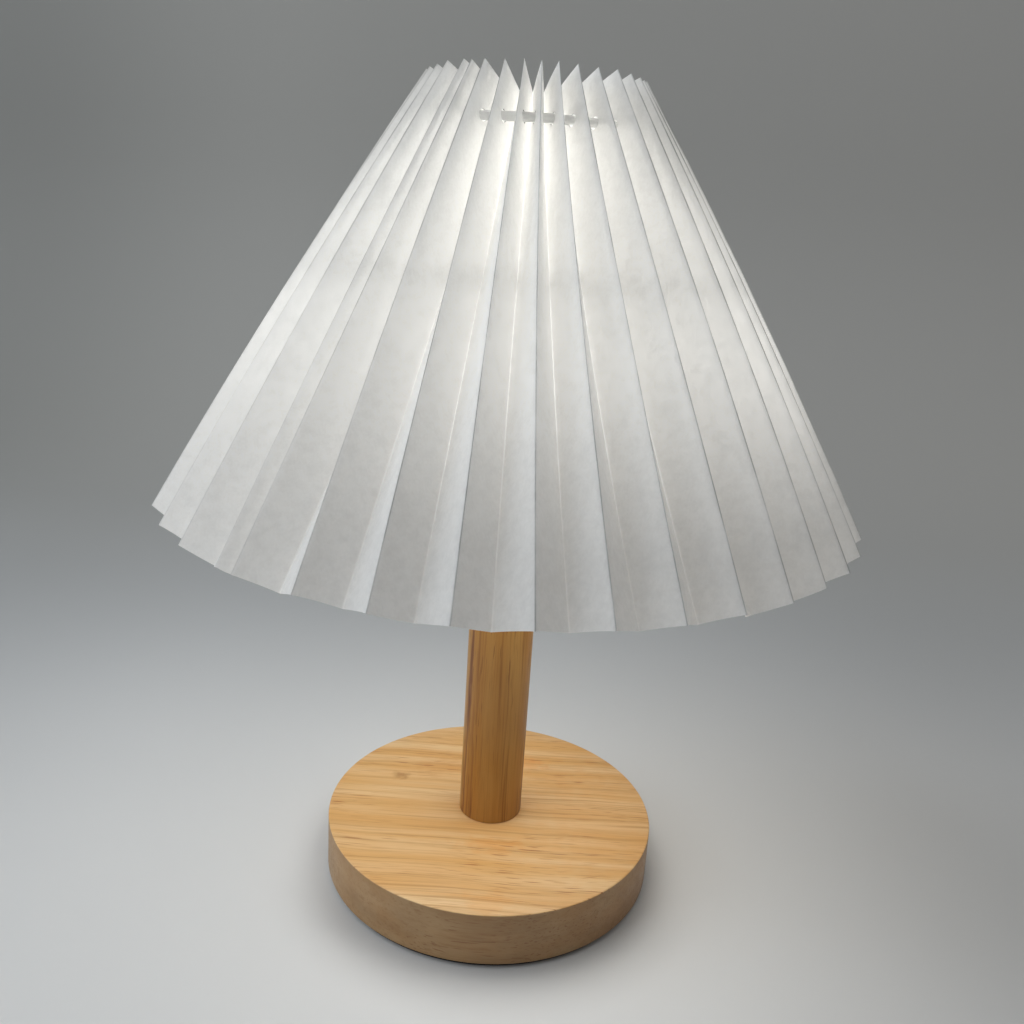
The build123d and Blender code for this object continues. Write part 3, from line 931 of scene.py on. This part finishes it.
def heights_of(node: str) -> Point:
    """The lowest and highest point of a CAD node in millimetres."""
    low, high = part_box(node)
    return low.z / MM, high.z / MM


# ---------------------------------------------------------------- the folded paper
GATHER_CENTRE = (34.97, 259.2)  # where the gather ring's wire runs through the paper: radius and height
GATHER_STEPS = 152  # two for each wall of paper


@dataclass
class PleatedPaper:
    """One strip of paper, folded into pleats and closed in a narrow lapped pleat.

    Sizes are in millimetres and angles in degrees from the front, towards the lamp's right. Pairs of sizes
    hold those of the outer folds and those of the inner folds. A lean is a group of folds that was pushed
    round at the top: its middle fold, its spread in folds and its angle.
    """

    pleats: int = 38
    rows: int = 44
    wall_columns: int = 6
    foot_radii: Point = (114.6, 107.6)
    foot_heights: Point = (143.6, 139.06)
    top_radii: Point = (33.5, 22.3)
    top_heights: Point = (274.15, 267.15)
    thickness: float = 0.38
    seam_angle: float = -36.4
    seam_width: float = 3.4
    seam_depth: float = 3.2
    bunching: tuple[float, ...] = (-2.5, -0.27, 1.01, 1.05, 0.7, 0.31, -0.2)
    leans: tuple[Triple, ...] = (
        (0.0, 0.7, 3.4),
        (5.4, 1.7, -3.7),
        (9.9, 2.0, 6.0),
        (34.0, 0.8, -1.8),
        (37.0, 0.8, 2.2),
    )
    pressed_fold: int = 33
    pressed_in: float = 2.2
    front_sag: float = 0.9
    belly: float = 1.6
    spike: float = 1.5
    ring_share: float = 0.62
    hole_radius: float = 1.75
    draws: random.Random = field(default_factory=lambda: random.Random(7))

    def fold_angles(self) -> list[float]:
        """The angle of every outer fold, from the seam round to its other side.

        Returns:
            The angles at the foot.
        """
        last = self.pleats - 1
        step = (360.0 - self.seam_width) / last
        angles = []
        for number in range(self.pleats):
            half_turn = math.pi * number / last
            waves = [size * math.sin((k + 1) * half_turn) for k, size in enumerate(self.bunching)]
            angles.append(self.seam_angle + step * number + sum(waves))
        return angles

    def lean(self, number: int) -> float:
        """How far the top of an outer fold has been pushed round from its foot, in degrees."""
        return sum(turn * math.exp(-(((number - fold) / spread) ** 2)) for fold, spread, turn in self.leans)

    def folds(self) -> list[dict[str, float]]:
        """Where each fold runs, with its small irregularities.

        Returns:
            Outer and inner folds in turn.
        """
        draw = self.draws.uniform
        outer = self.fold_angles()
        outer.append(outer[0] + 360.0)
        leans = [self.lean(number) for number in range(self.pleats)]
        leans.append(leans[0])
        folds = []
        for number in range(self.pleats):
            seam = number == self.pleats - 1
            start, end = outer[number], outer[number + 1]
            sag = self.front_sag * max(0.0, math.cos(math.radians(start))) ** 6
            folds.append(
                {
                    "kind": 0,
                    "foot": start,
                    "top": start + leans[number] + draw(-0.25, 0.25),
                    "foot_in": self.pressed_in if number == self.pressed_fold else draw(0.0, 0.4),
                    "top_in": draw(0.0, 0.4),
                    "foot_up": draw(0.0, 0.4) - sag,
                    "top_down": draw(0.0, 0.5),
                }
            )
            middle = (start + end) / 2
            lean = (leans[number] + leans[number + 1]) / 2
            folds.append(
                {
                    "kind": 1,
                    "foot": middle + (0 if seam else draw(-0.35, 0.35)),
                    "top": middle + lean + (0 if seam else draw(-0.4, 0.4)),
                    "foot_in": (self.seam_depth - 7.0) if seam else draw(-0.5, 0.7),
                    "top_in": (self.seam_depth - 11.2) if seam else 0.0,
                    "foot_up": (4.5 - self.seam_depth * 0.62) if seam else draw(0.0, 0.5),
                    "top_down": (self.seam_depth * 0.62 - 7.0) if seam else draw(-0.3, 0.3),
                }
            )
        return folds

    def fold_point(self, fold: dict[str, float], share: float) -> Vector:
        """A point of a fold.

        Args:
            fold: the fold.
            share: how far up it the point lies, from 0 at the foot to 1 at the top.

        Returns:
            The point in millimetres.
        """
        kind = int(fold["kind"])
        radius = self.foot_radii[kind] + (self.top_radii[kind] - self.foot_radii[kind]) * share
        height = self.foot_heights[kind] + (self.top_heights[kind] - self.foot_heights[kind]) * share
        low = max(0.0, 1.0 - share / self.ring_share) ** 2
        high = max(0.0, (share - self.ring_share) / (1.0 - self.ring_share)) ** 2
        if kind == 0 or fold["top_in"] < 0:
            low, high = 1.0 - share, share
        radius -= fold["foot_in"] * low + fold["top_in"] * high
        if kind == 0:
            radius += self.belly * 4 * share * (1 - share)
        height += fold["foot_up"] * (1.0 - share) - fold["top_down"] * share
        turn = math.radians(fold["foot"] + (fold["top"] - fold["foot"]) * share)
        return Vector((radius * math.sin(turn), -radius * math.cos(turn), height))

    def build(self) -> bpy.types.Object:
        """Folds a flat grid, thickens it and punches the holes for the gather ring.

        Returns:
            The finished paper.
        """
        walls = 2 * self.pleats
        counts = {"x_subdivisions": walls * self.wall_columns, "y_subdivisions": self.rows}
        deselect()
        bpy.ops.mesh.primitive_grid_add(size=1.0, calc_uvs=True, **counts)
        paper = bpy.context.object
        paper.name = "pleated_paper"
        layer = paper.data.uv_layers.active.data
        flat = [(vertex.co.x + 0.5, vertex.co.y + 0.5) for vertex in paper.data.vertices]
        for loop in paper.data.loops:
            across, share = flat[loop.vertex_index]
            layer[loop.index].uv = (across * walls, share)
        folds = self.folds()
        bows = [self.draws.uniform(-0.4, 0.3) for _ in range(walls)]
        waves = [self.draws.uniform(0.0, FULL_TURN) for _ in range(walls)]
        for vertex, (across, share) in zip(paper.data.vertices, flat):
            column = across * walls
            wall = min(int(column + 1e-6), walls - 1)
            part = min(max(column - wall, 0.0), 1.0)
            start = self.fold_point(folds[wall], share)
            end = self.fold_point(folds[(wall + 1) % walls], share)
            spot = start.lerp(end, part)
            outwards = (end - start).normalized().cross(Vector((0, 0, 1))).normalized()
            if outwards.dot(Vector((spot.x, spot.y, 0))) < 0:
                outwards.negate()
            swell = 4 * part * (1 - part)
            bow = bows[wall] * math.sin(math.pi * min(share * 1.15, 1.0))
            bow += 0.12 * math.sin(waves[wall] + 9 * share)
            rim = max(0.0, 1.0 - share / 0.08) ** 2 * 0.35 * math.sin(waves[wall])
            vertex.co = (spot + outwards * swell * (bow + rim)) * MM
        tidy_shell(paper, 1e-5)
        self.face_outwards(paper)
        apply_modifier(paper, "SOLIDIFY", thickness=self.thickness * MM, offset=-1.0, use_even_offset=True)
        reshape(paper, self.without_spike)
        cut_hole(paper, hoop("punch", GATHER_CENTRE, self.hole_radius, GATHER_STEPS))
        smooth(paper, 25.0)
        return paper

    def without_spike(self, co: Vector) -> Vector:
        """Draws back what the thickening left sticking inwards at a tight fold.

        Args:
            co: a point of the paper.

        Returns:
            The same point, or one on the line of the inner folds.
        """
        share = (co.z / MM - self.foot_heights[1]) / (self.top_heights[1] - self.foot_heights[1])
        least = self.foot_radii[1] + (self.top_radii[1] - self.foot_radii[1]) * share - self.spike
        reach = math.hypot(co.x, co.y) / MM
        if reach >= least:
            return co
        return Vector((co.x * least / reach, co.y * least / reach, co.z))

    @staticmethod
    def face_outwards(piece: bpy.types.Object) -> None:
        """Turns the faces of the open sheet away from the post if most of them point towards it.

        Args:
            piece: the sheet before it gets its thickness.
        """
        outwards = sum(face.normal.xy.dot(face.center.xy) for face in piece.data.polygons)
        if outwards <= 0:
            pick(piece)
            bpy.ops.object.mode_set(mode="EDIT")
            bpy.ops.mesh.select_all(action="SELECT")
            bpy.ops.mesh.flip_normals()
            bpy.ops.object.mode_set(mode="OBJECT")


@dataclass
class ShadeWires:
    """The gather ring, and the welded frame of hub, three spokes and support ring."""

    gather_wire: float = 1.3
    ring_height: float = 218.0
    ring_wire: float = 1.5
    spoke_wire: float = 1.15
    spoke_bend: float = 2.4
    hub_radius: float = 29.0
    hub_bore: float = 20.05
    hub_edge: float = 0.3
    spoke_foot: float = 3.0
    first_spoke: float = 90.0
    hub_weld: float = 1.5
    ring_weld: float = 1.35
    steps: int = 128

    def build(self) -> None:
        """Builds both pieces and fixes them to the shade."""
        gather = hoop("gather_ring_round", GATHER_CENTRE, self.gather_wire, GATHER_STEPS)
        settle(gather, "shade", "ring_plastic", "gather_ring")
        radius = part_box("support_ring")[1].x / MM - self.ring_wire
        low, high = heights_of("shade_hub")
        bore, rim = self.hub_bore, self.hub_radius
        outline = [(bore, low), (rim, low), (rim, high), (bore, high)]
        hub = turned("hub", outline, self.steps, self.hub_edge)
        pieces = [hub, hoop("ring", (radius, self.ring_height), self.ring_wire, self.steps)]
        middle = Vector((0, 0, (low + high) / 2))
        for number in range(3):
            turn = math.radians(self.first_spoke + 120 * number)
            out = Vector((math.cos(turn), math.sin(turn), 0.0))
            path = [
                out * (rim - 0.4) + middle,
                out * (rim + self.spoke_foot) + middle,
                out * radius + Vector((0, 0, self.ring_height)),
            ]
            pieces.append(wire("spoke", path, self.spoke_wire, self.spoke_bend))
            pieces.append(self.weld(path[0] + out * 0.6, self.hub_weld))
            pieces.append(self.weld(path[2] - (path[2] - path[1]).normalized() * 1.2, self.ring_weld))
        frame_nodes = ("shade_hub", "shade_spokes", "support_ring")
        settle(joined("wire_frame", pieces), "shade", "frame_paint", *frame_nodes)

    @staticmethod
    def weld(spot: Vector, size: float) -> bpy.types.Object:
        """A small, flattened and slightly uneven bead of weld.

        Args:
            spot: its middle in millimetres.
            size: its radius in millimetres.

        Returns:
            The bead.
        """
        centre = spot * MM
        deselect()
        bpy.ops.mesh.primitive_uv_sphere_add(segments=16, ring_count=8, radius=size * MM, location=centre)
        bpy.ops.transform.resize(value=(1.0, 1.0, 0.85), center_override=tuple(centre))
        bpy.ops.object.transform_apply(location=True, rotation=True, scale=True)
        bead = bpy.context.object
        reshape(bead, lambda co: co + (co - centre) * 0.08 * math.sin(co.x * 4000 + co.y * 3000))
        smooth(bead)
        return bead


# ---------------------------------------------------------------- base and post
@dataclass
class WoodenStand:
    """The turned base with its recess and cord hole, and the dowel that stands on it."""

    base_radius: float = 60.0
    base_bottom: float = 1.6
    base_top: float = 20.6
    edge: float = 0.45
    recess_radius: float = 16.0
    recess_top: float = 13.6
    bore: float = 5.25
    outlet_height: float = 9.0
    outlet_radius: float = 3.7
    outlet_start: float = 12.0
    flange_radius: float = 5.7
    flange_sunk: float = 1.0
    post_radius: float = 11.5
    base_steps: int = 192
    post_steps: int = 128

    def build(self) -> None:
        """Builds the base and the post and fixes them to the stand."""
        outline = [
            (self.bore, self.base_top),
            (self.bore, self.recess_top),
            (self.recess_radius, self.recess_top),
            (self.recess_radius, self.base_bottom),
            (self.base_radius, self.base_bottom),
            (self.base_radius, self.base_top),
        ]
        base = turned("turned_base", outline, self.base_steps, self.edge)
        cut_hole(base, self.drill(self.outlet_radius, self.outlet_start))
        cut_hole(base, self.drill(self.flange_radius, self.base_radius - self.flange_sunk))
        smooth(base, 30.0)
        settle(base, "stand", "base_wood", "base_disc")
        post_top = heights_of("post")[1]
        outline = [
            (self.bore, self.base_top),
            (self.post_radius, self.base_top),
            (self.post_radius, post_top),
            (self.bore, post_top),
        ]
        post = turned("dowel_post", outline, self.post_steps, self.edge)
        settle(post, "stand", "post_wood", "post")

    def drill(self, radius: float, start: float) -> bpy.types.Object:
        """A drill-shaped cutter that runs out through the base's rear.

        Args:
            radius: the drill's radius.
            start: how far behind the middle it starts.

        Returns:
            The cutter.
        """
        end = self.base_radius + 5.0
        deselect()
        bpy.ops.mesh.primitive_cylinder_add(
            vertices=48,
            radius=radius * MM,
            depth=(end - start) * MM,
            location=(0.0, (start + end) / 2 * MM, self.outlet_height * MM),
            rotation=(math.pi / 2, 0.0, 0.0),
        )
        bpy.ops.object.transform_apply(location=True, rotation=True, scale=True)
        return bpy.context.object


# ---------------------------------------------------------------- lampholder and bulb
@dataclass
class Lampholder:
    """The E27 lampholder: cap, threaded shell with its seat, and the clamp ring."""

    radius: float = 19.75
    tube_bore: float = 5.1
    neck_radius: float = 12.5
    neck_height: float = 6.0
    shoulder: float = 8.0
    wall: float = 1.9
    spigot_radius: float = 17.65
    spigot_height: float = 6.0
    cap_height: float = 12.0
    spigot_bore: float = 17.75
    shell_bore: float = 14.05
    bore_step: float = 8.0
    seat_drop: float = 19.0
    seat_thickness: float = 2.4
    seat_radius: float = 25.0
    thread_rows: int = 44
    thread_pitch: float = 2.6
    thread_depth: float = 0.35
    ring_bore: float = 20.05
    ring_radius: float = 23.9
    ring_chamfer: float = 0.8
    ring_edge: float = 0.25
    grips: int = 20
    grip_depth: float = 1.0

    def build(self) -> None:
        """Builds the visible pieces of the lampholder and fixes them to their bodies."""
        bottom = heights_of("holder_cap")[0]
        self.build_cap(bottom)
        self.build_shell(bottom + self.cap_height)
        self.build_ring()

    def build_cap(self, bottom: float) -> None:
        """Turns the lower cap, a cup with a neck below and a spigot above.

        Args:
            bottom: the height of its foot.
        """
        top = bottom + self.cap_height
        neck = bottom + self.neck_height
        outline = [
            (self.tube_bore, bottom),
            (self.neck_radius, bottom),
            (self.neck_radius, neck - 0.6),
            *arc((self.neck_radius + self.shoulder, neck - 0.2), self.shoulder, 175, 122, 8),
            (self.radius - 1.6, top - 2.2),
            (self.radius, top - 1.4),
            (self.radius, top),
            (self.spigot_radius, top),
            (self.spigot_radius, top + self.spigot_height),
            (self.spigot_radius - self.wall, top + self.spigot_height),
            (self.spigot_radius - self.wall, top),
            (self.neck_radius - self.wall, neck),
            (self.tube_bore, neck),
        ]
        settle(turned("holder_cap_turned", outline, 96, 0.3), "stand", "holder_plastic", "holder_cap")

    def build_shell(self, bottom: float) -> None:
        """Turns the upper shell with its seat and cuts its outside thread.

        Args:
            bottom: the height at which it meets the cap.
        """
        top = heights_of("holder_shell")[1]
        seat = top - self.seat_drop
        rise = (top - 1.0 - seat) / self.thread_rows
        outline = [
            (self.spigot_bore, bottom),
            (self.radius, bottom),
            (self.radius, seat - self.seat_thickness),
            (self.seat_radius, seat - self.seat_thickness),
            (self.seat_radius, seat),
            *((self.radius, seat + rise * row) for row in range(self.thread_rows + 1)),
            (self.radius - 1.0, top),
            (self.shell_bore, top),
            (self.shell_bore, bottom + self.bore_step),
            (self.spigot_bore, bottom + self.bore_step),
        ]
        shell = turned("holder_shell_threaded", outline)
        cut_thread(shell, self.radius, self.thread_pitch, self.thread_depth, (seat + 1.2, top - 1.2))
        smooth(shell, 50.0)
        settle(shell, "stand", "holder_plastic", "holder_shell")

    def build_ring(self) -> None:
        """Turns the clamp ring and presses finger grips into it."""
        low, high = heights_of("shade_ring")
        outline = [
            (self.ring_bore, low),
            (self.ring_radius, low),
            (self.ring_radius, high - self.ring_chamfer),
            (self.ring_radius - self.ring_chamfer, high),
            (self.ring_bore, high),
        ]
        ring = turned("clamp_ring_ribbed", outline, 160, self.ring_edge)
        reshape(ring, self.gripped)
        smooth(ring, 40.0)
        settle(ring, "clamp_ring", "holder_plastic", "shade_ring")

    def gripped(self, co: Vector) -> Vector:
        """Presses one point of the clamp ring's outside in, where a finger grip is.

        Args:
            co: the point.

        Returns:
            Its new place.
        """
        if math.hypot(co.x, co.y) / MM < 22.5:
            return co
        return pressed(co, self.grip_depth * max(0.0, math.cos(self.grips * math.atan2(co.y, co.x))) ** 0.6)


@dataclass
class Bulb:
    """A small LED globe bulb: opal globe, collar and rolled screw cap."""

    globe_radius: float = 22.5
    globe_wall: float = 1.2
    joint_radius: float = 20.156
    joint_drop: float = 10.0
    collar_wall: float = 1.6
    collar_curve: float = 1.35
    collar_rows: tuple[float, ...] = (0.0, 0.15, 0.3, 0.45, 0.6, 0.75, 0.88, 1.0)
    cap_radius: float = 13.1
    cap_wall: float = 0.4
    thread_rows: int = 60
    thread_pitch: float = 3.62
    thread_depth: float = 0.75

    def build(self) -> None:
        """Builds the bulb's pieces and fixes them to it."""
        top = heights_of("bulb_globe")[1]
        centre = (0.0, top - self.globe_radius)
        joint = centre[1] - self.joint_drop
        first = -math.degrees(math.asin(self.joint_drop / self.globe_radius))
        outline = [
            *arc(centre, self.globe_radius, first, 89.0, 40),
            (0.0, top),
            (0.0, top - self.globe_wall),
            *arc(centre, self.globe_radius - self.globe_wall, 89.0, first, 30),
        ]
        settle(turned("opal_globe", outline), "bulb", "opal_globe", "bulb_globe")
        low = heights_of("bulb_collar")[0]
        flare = self.joint_radius - self.cap_radius
        radii = (self.cap_radius + flare * share**self.collar_curve for share in self.collar_rows)
        heights = (low + (joint - low) * share for share in self.collar_rows)
        inner = self.joint_radius - self.collar_wall
        outline = [
            *zip(radii, heights),
            (inner, joint),
            (inner, joint - 1.5),
            (inner - 1.5, joint - 1.5),
            (self.cap_radius - self.collar_wall, low),
        ]
        settle(turned("collar_moulded", outline, 96, 0.2), "bulb", "collar_plastic", "bulb_collar")
        low, high = heights_of("bulb_cap")
        rise = (high - low) / self.thread_rows
        outline = [
            (self.cap_radius - self.cap_wall, low),
            *((self.cap_radius, low + rise * row) for row in range(self.thread_rows + 1)),
            (self.cap_radius - self.cap_wall, high),
        ]
        cap = turned("rolled_cap", outline)
        cut_thread(cap, self.cap_radius, self.thread_pitch, self.thread_depth, (low + 1.5, high - 3.0))
        smooth(cap, 60.0)
        settle(cap, "bulb", "nickel_plate", "bulb_cap")


# ---------------------------------------------------------------- room, light and camera
@dataclass(frozen=True)
class SoftLight:
    """A square soft light. Its place, the point that it faces and its side are in metres."""

    name: str
    place: Triple
    aim: Triple
    size: float
    watts: float
    tint: Colour

    def hang(self) -> None:
        """Adds the light to the studio."""
        deselect()
        bpy.ops.object.light_add(type="AREA", location=self.place)
        light = bpy.context.object
        light.name = self.name
        light.data.shape = "SQUARE"
        light.data.size = self.size
        light.data.energy = self.watts
        light.data.color = self.tint
        light.rotation_euler = (Vector(self.aim) - Vector(self.place)).to_track_quat("-Z", "Y").to_euler()


@dataclass
class Studio:
    """A pale floor that sweeps up into a grey backdrop, soft lights and the camera, in metres and radians."""

    # floor and backdrop colours carry painted light: the floor brighter around and in front of the lamp than
    # further back, the backdrop darker to the left, painted shade at the sides and to the right of the lamp,
    # and a painted shadow under the base's front
    floor_near: Colour = (0.83, 0.825, 0.81)
    floor_far: Colour = (0.58, 0.587, 0.587)
    wall_left: Colour = (0.285, 0.280, 0.262)
    wall_middle: Colour = (0.430, 0.421, 0.396)
    wall_right: Colour = (0.475, 0.466, 0.443)
    painted_shade_near_right: float = 0.20
    painted_shade_far_left: float = 0.22
    painted_shade_right: float = 0.13
    painted_shadow_at_base: float = 0.28
    floor_level: float = -0.00005
    floor_start: float = -2.2
    floor_end: float = 0.42
    sheet_length: float = 4.6
    sheet_width: float = 5.0
    sweep_radius: float = 0.30
    lights: tuple[SoftLight, ...] = (
        SoftLight("key", (-1.36, -0.30, 1.02), (0.0, 0.0, 0.10), 1.8, 19.6, (0.86, 0.93, 1.0)),
        SoftLight("fill", (1.30, 0.10, 0.70), (0.0, 0.0, 0.12), 1.2, 1.8, (1.0, 0.97, 0.92)),
        SoftLight("pool", (0.012, 0.0, 0.150), (0.022, 0.0, 0.0), 0.09, 0.079, (1.0, 0.97, 0.91)),
        SoftLight("top", (0.10, -0.10, 1.60), (0.0, 0.0, 0.0), 1.2, 2.4, (1.0, 0.985, 0.96)),
    )
    room_tint: Colour = (0.93, 0.96, 1.0)
    room_strength: float = 0.15
    lens: float = 33.28
    camera_place: Triple = (0.0, -0.3119, 0.2294)
    pitch: float = 0.2884
    roll: float = 0.065
    yaw: float = 0.0035

    def build(self) -> None:
        """Builds the sweep, the lights, the world and the camera."""
        self.sweep()
        for light in self.lights:
            light.hang()
        world = bpy.data.worlds.new("Room")
        bpy.context.scene.world = world
        world.use_nodes = True
        back = world.node_tree.nodes["Background"]
        back.inputs["Color"].default_value = rgba(self.room_tint)
        back.inputs["Strength"].default_value = self.room_strength
        self.camera()
        bpy.context.scene.view_settings.view_transform = "Standard"

    def sweep(self) -> None:
        """The floor and backdrop in one curved sheet."""
        deselect()
        bpy.ops.mesh.primitive_grid_add(x_subdivisions=2, y_subdivisions=96, size=1.0)
        sheet = bpy.context.object
        sheet.name = "floor_sweep"
        arc_length = self.sweep_radius * math.pi / 2
        for vertex in sheet.data.vertices:
            run = self.floor_start + (vertex.co.y + 0.5) * self.sheet_length
            past = run - self.floor_end
            if past <= 0:
                y, z = run, self.floor_level
            elif past < arc_length:
                turn = past / self.sweep_radius
                y = self.floor_end + self.sweep_radius * math.sin(turn)
                z = self.sweep_radius * (1 - math.cos(turn))
            else:
                y, z = self.floor_end + self.sweep_radius, self.sweep_radius + past - arc_length
            vertex.co = Vector((vertex.co.x * self.sheet_width, y, z))
        smooth(sheet, 60.0)
        dress(sheet, self.sheet_material())

    def sheet_material(self) -> bpy.types.Material:
        """The floor and backdrop with painted light: the floor brighter around the lamp, painted shade to the
        sides, a painted shadow close under the base's front, and a backdrop darker to the left.

        Returns:
            The material.
        """
        material, recipe = new_material("Floor and backdrop")
        place = recipe.place()
        across, away = recipe.part(place, "X"), recipe.part(place, "Y")
        ramp = recipe.ramp
        colour = recipe.blend(ramp(away, -0.05, 0.30), rgba(self.floor_near), rgba(self.floor_far))
        base_shadow = ramp(recipe.length(place), 0.058, 0.086, self.painted_shadow_at_base, 0.0)
        # painted shade on the floor: to the right of the lamp, far to the left, to the right, and a painted
        # shadow close under the base's front
        for dim in (
            recipe.times(ramp(across, 0.04, 0.22), ramp(away, 0.10, -0.04, 0.0, self.painted_shade_near_right)),
            ramp(across, -0.14, -0.34, 0.0, self.painted_shade_far_left),
            ramp(across, 0.07, 0.30, 0.0, self.painted_shade_right),
            recipe.times(base_shadow, ramp(away, -0.01, -0.05)),
        ):
            colour = recipe.blend(dim, colour, BLACK)
        # the backdrop darker to the left, painted shade
        wall = recipe.blend(ramp(across, -0.56, -0.22), rgba(self.wall_left), rgba(self.wall_middle))
        wall = recipe.blend(ramp(across, -0.22, 0.50), wall, rgba(self.wall_right))
        colour = recipe.blend(ramp(away, 0.07, 0.60), colour, wall)
        recipe.show(recipe.node("BsdfPrincipled", {"Base Color": colour, "Roughness": 0.75}))
        return material

    def camera(self) -> None:
        """The camera at the photograph's angle, tilted as it was held."""
        deselect()
        bpy.ops.object.camera_add(location=self.camera_place)
        camera = bpy.context.object
        camera.data.lens = self.lens
        camera.data.sensor_width = 36.0
        level = math.cos(self.pitch)
        ahead = Vector((math.sin(self.yaw) * level, math.cos(self.yaw) * level, -math.sin(self.pitch)))
        right = ahead.cross(Vector((0, 0, 1))).normalized()
        up = right.cross(ahead)
        x_axis = right * math.cos(self.roll) + up * math.sin(self.roll)
        y_axis = up * math.cos(self.roll) - right * math.sin(self.roll)
        turned_to = Matrix((x_axis, y_axis, -ahead)).transposed().to_4x4()
        camera.matrix_world = Matrix.Translation(Vector(self.camera_place)) @ turned_to
        camera.data.clip_start = 0.01
        bpy.context.scene.camera = camera


# ---------------------------------------------------------------- the whole lamp
def dress_cad_nodes() -> None:
    """Gives every CAD node the finish of its material slot."""
    for part in frame["record"]["subparts"]:
        dress(frame["nodes"][part["node"]], material_of(part["material_slot"]))
        log.info("%s: %s", part["node"], part["material_slot"])


def main() -> None:
    logging.basicConfig(level=logging.INFO, format="%(name)s: %(message)s")
    dress_cad_nodes()
    WoodenStand().build()
    Lampholder().build()
    Bulb().build()
    ShadeWires().build()
    settle(PleatedPaper().build(), "shade", "shade_paper", "pleated_shade")
    Studio().build()
    deselect()


if __name__ == "__main__":
    main()
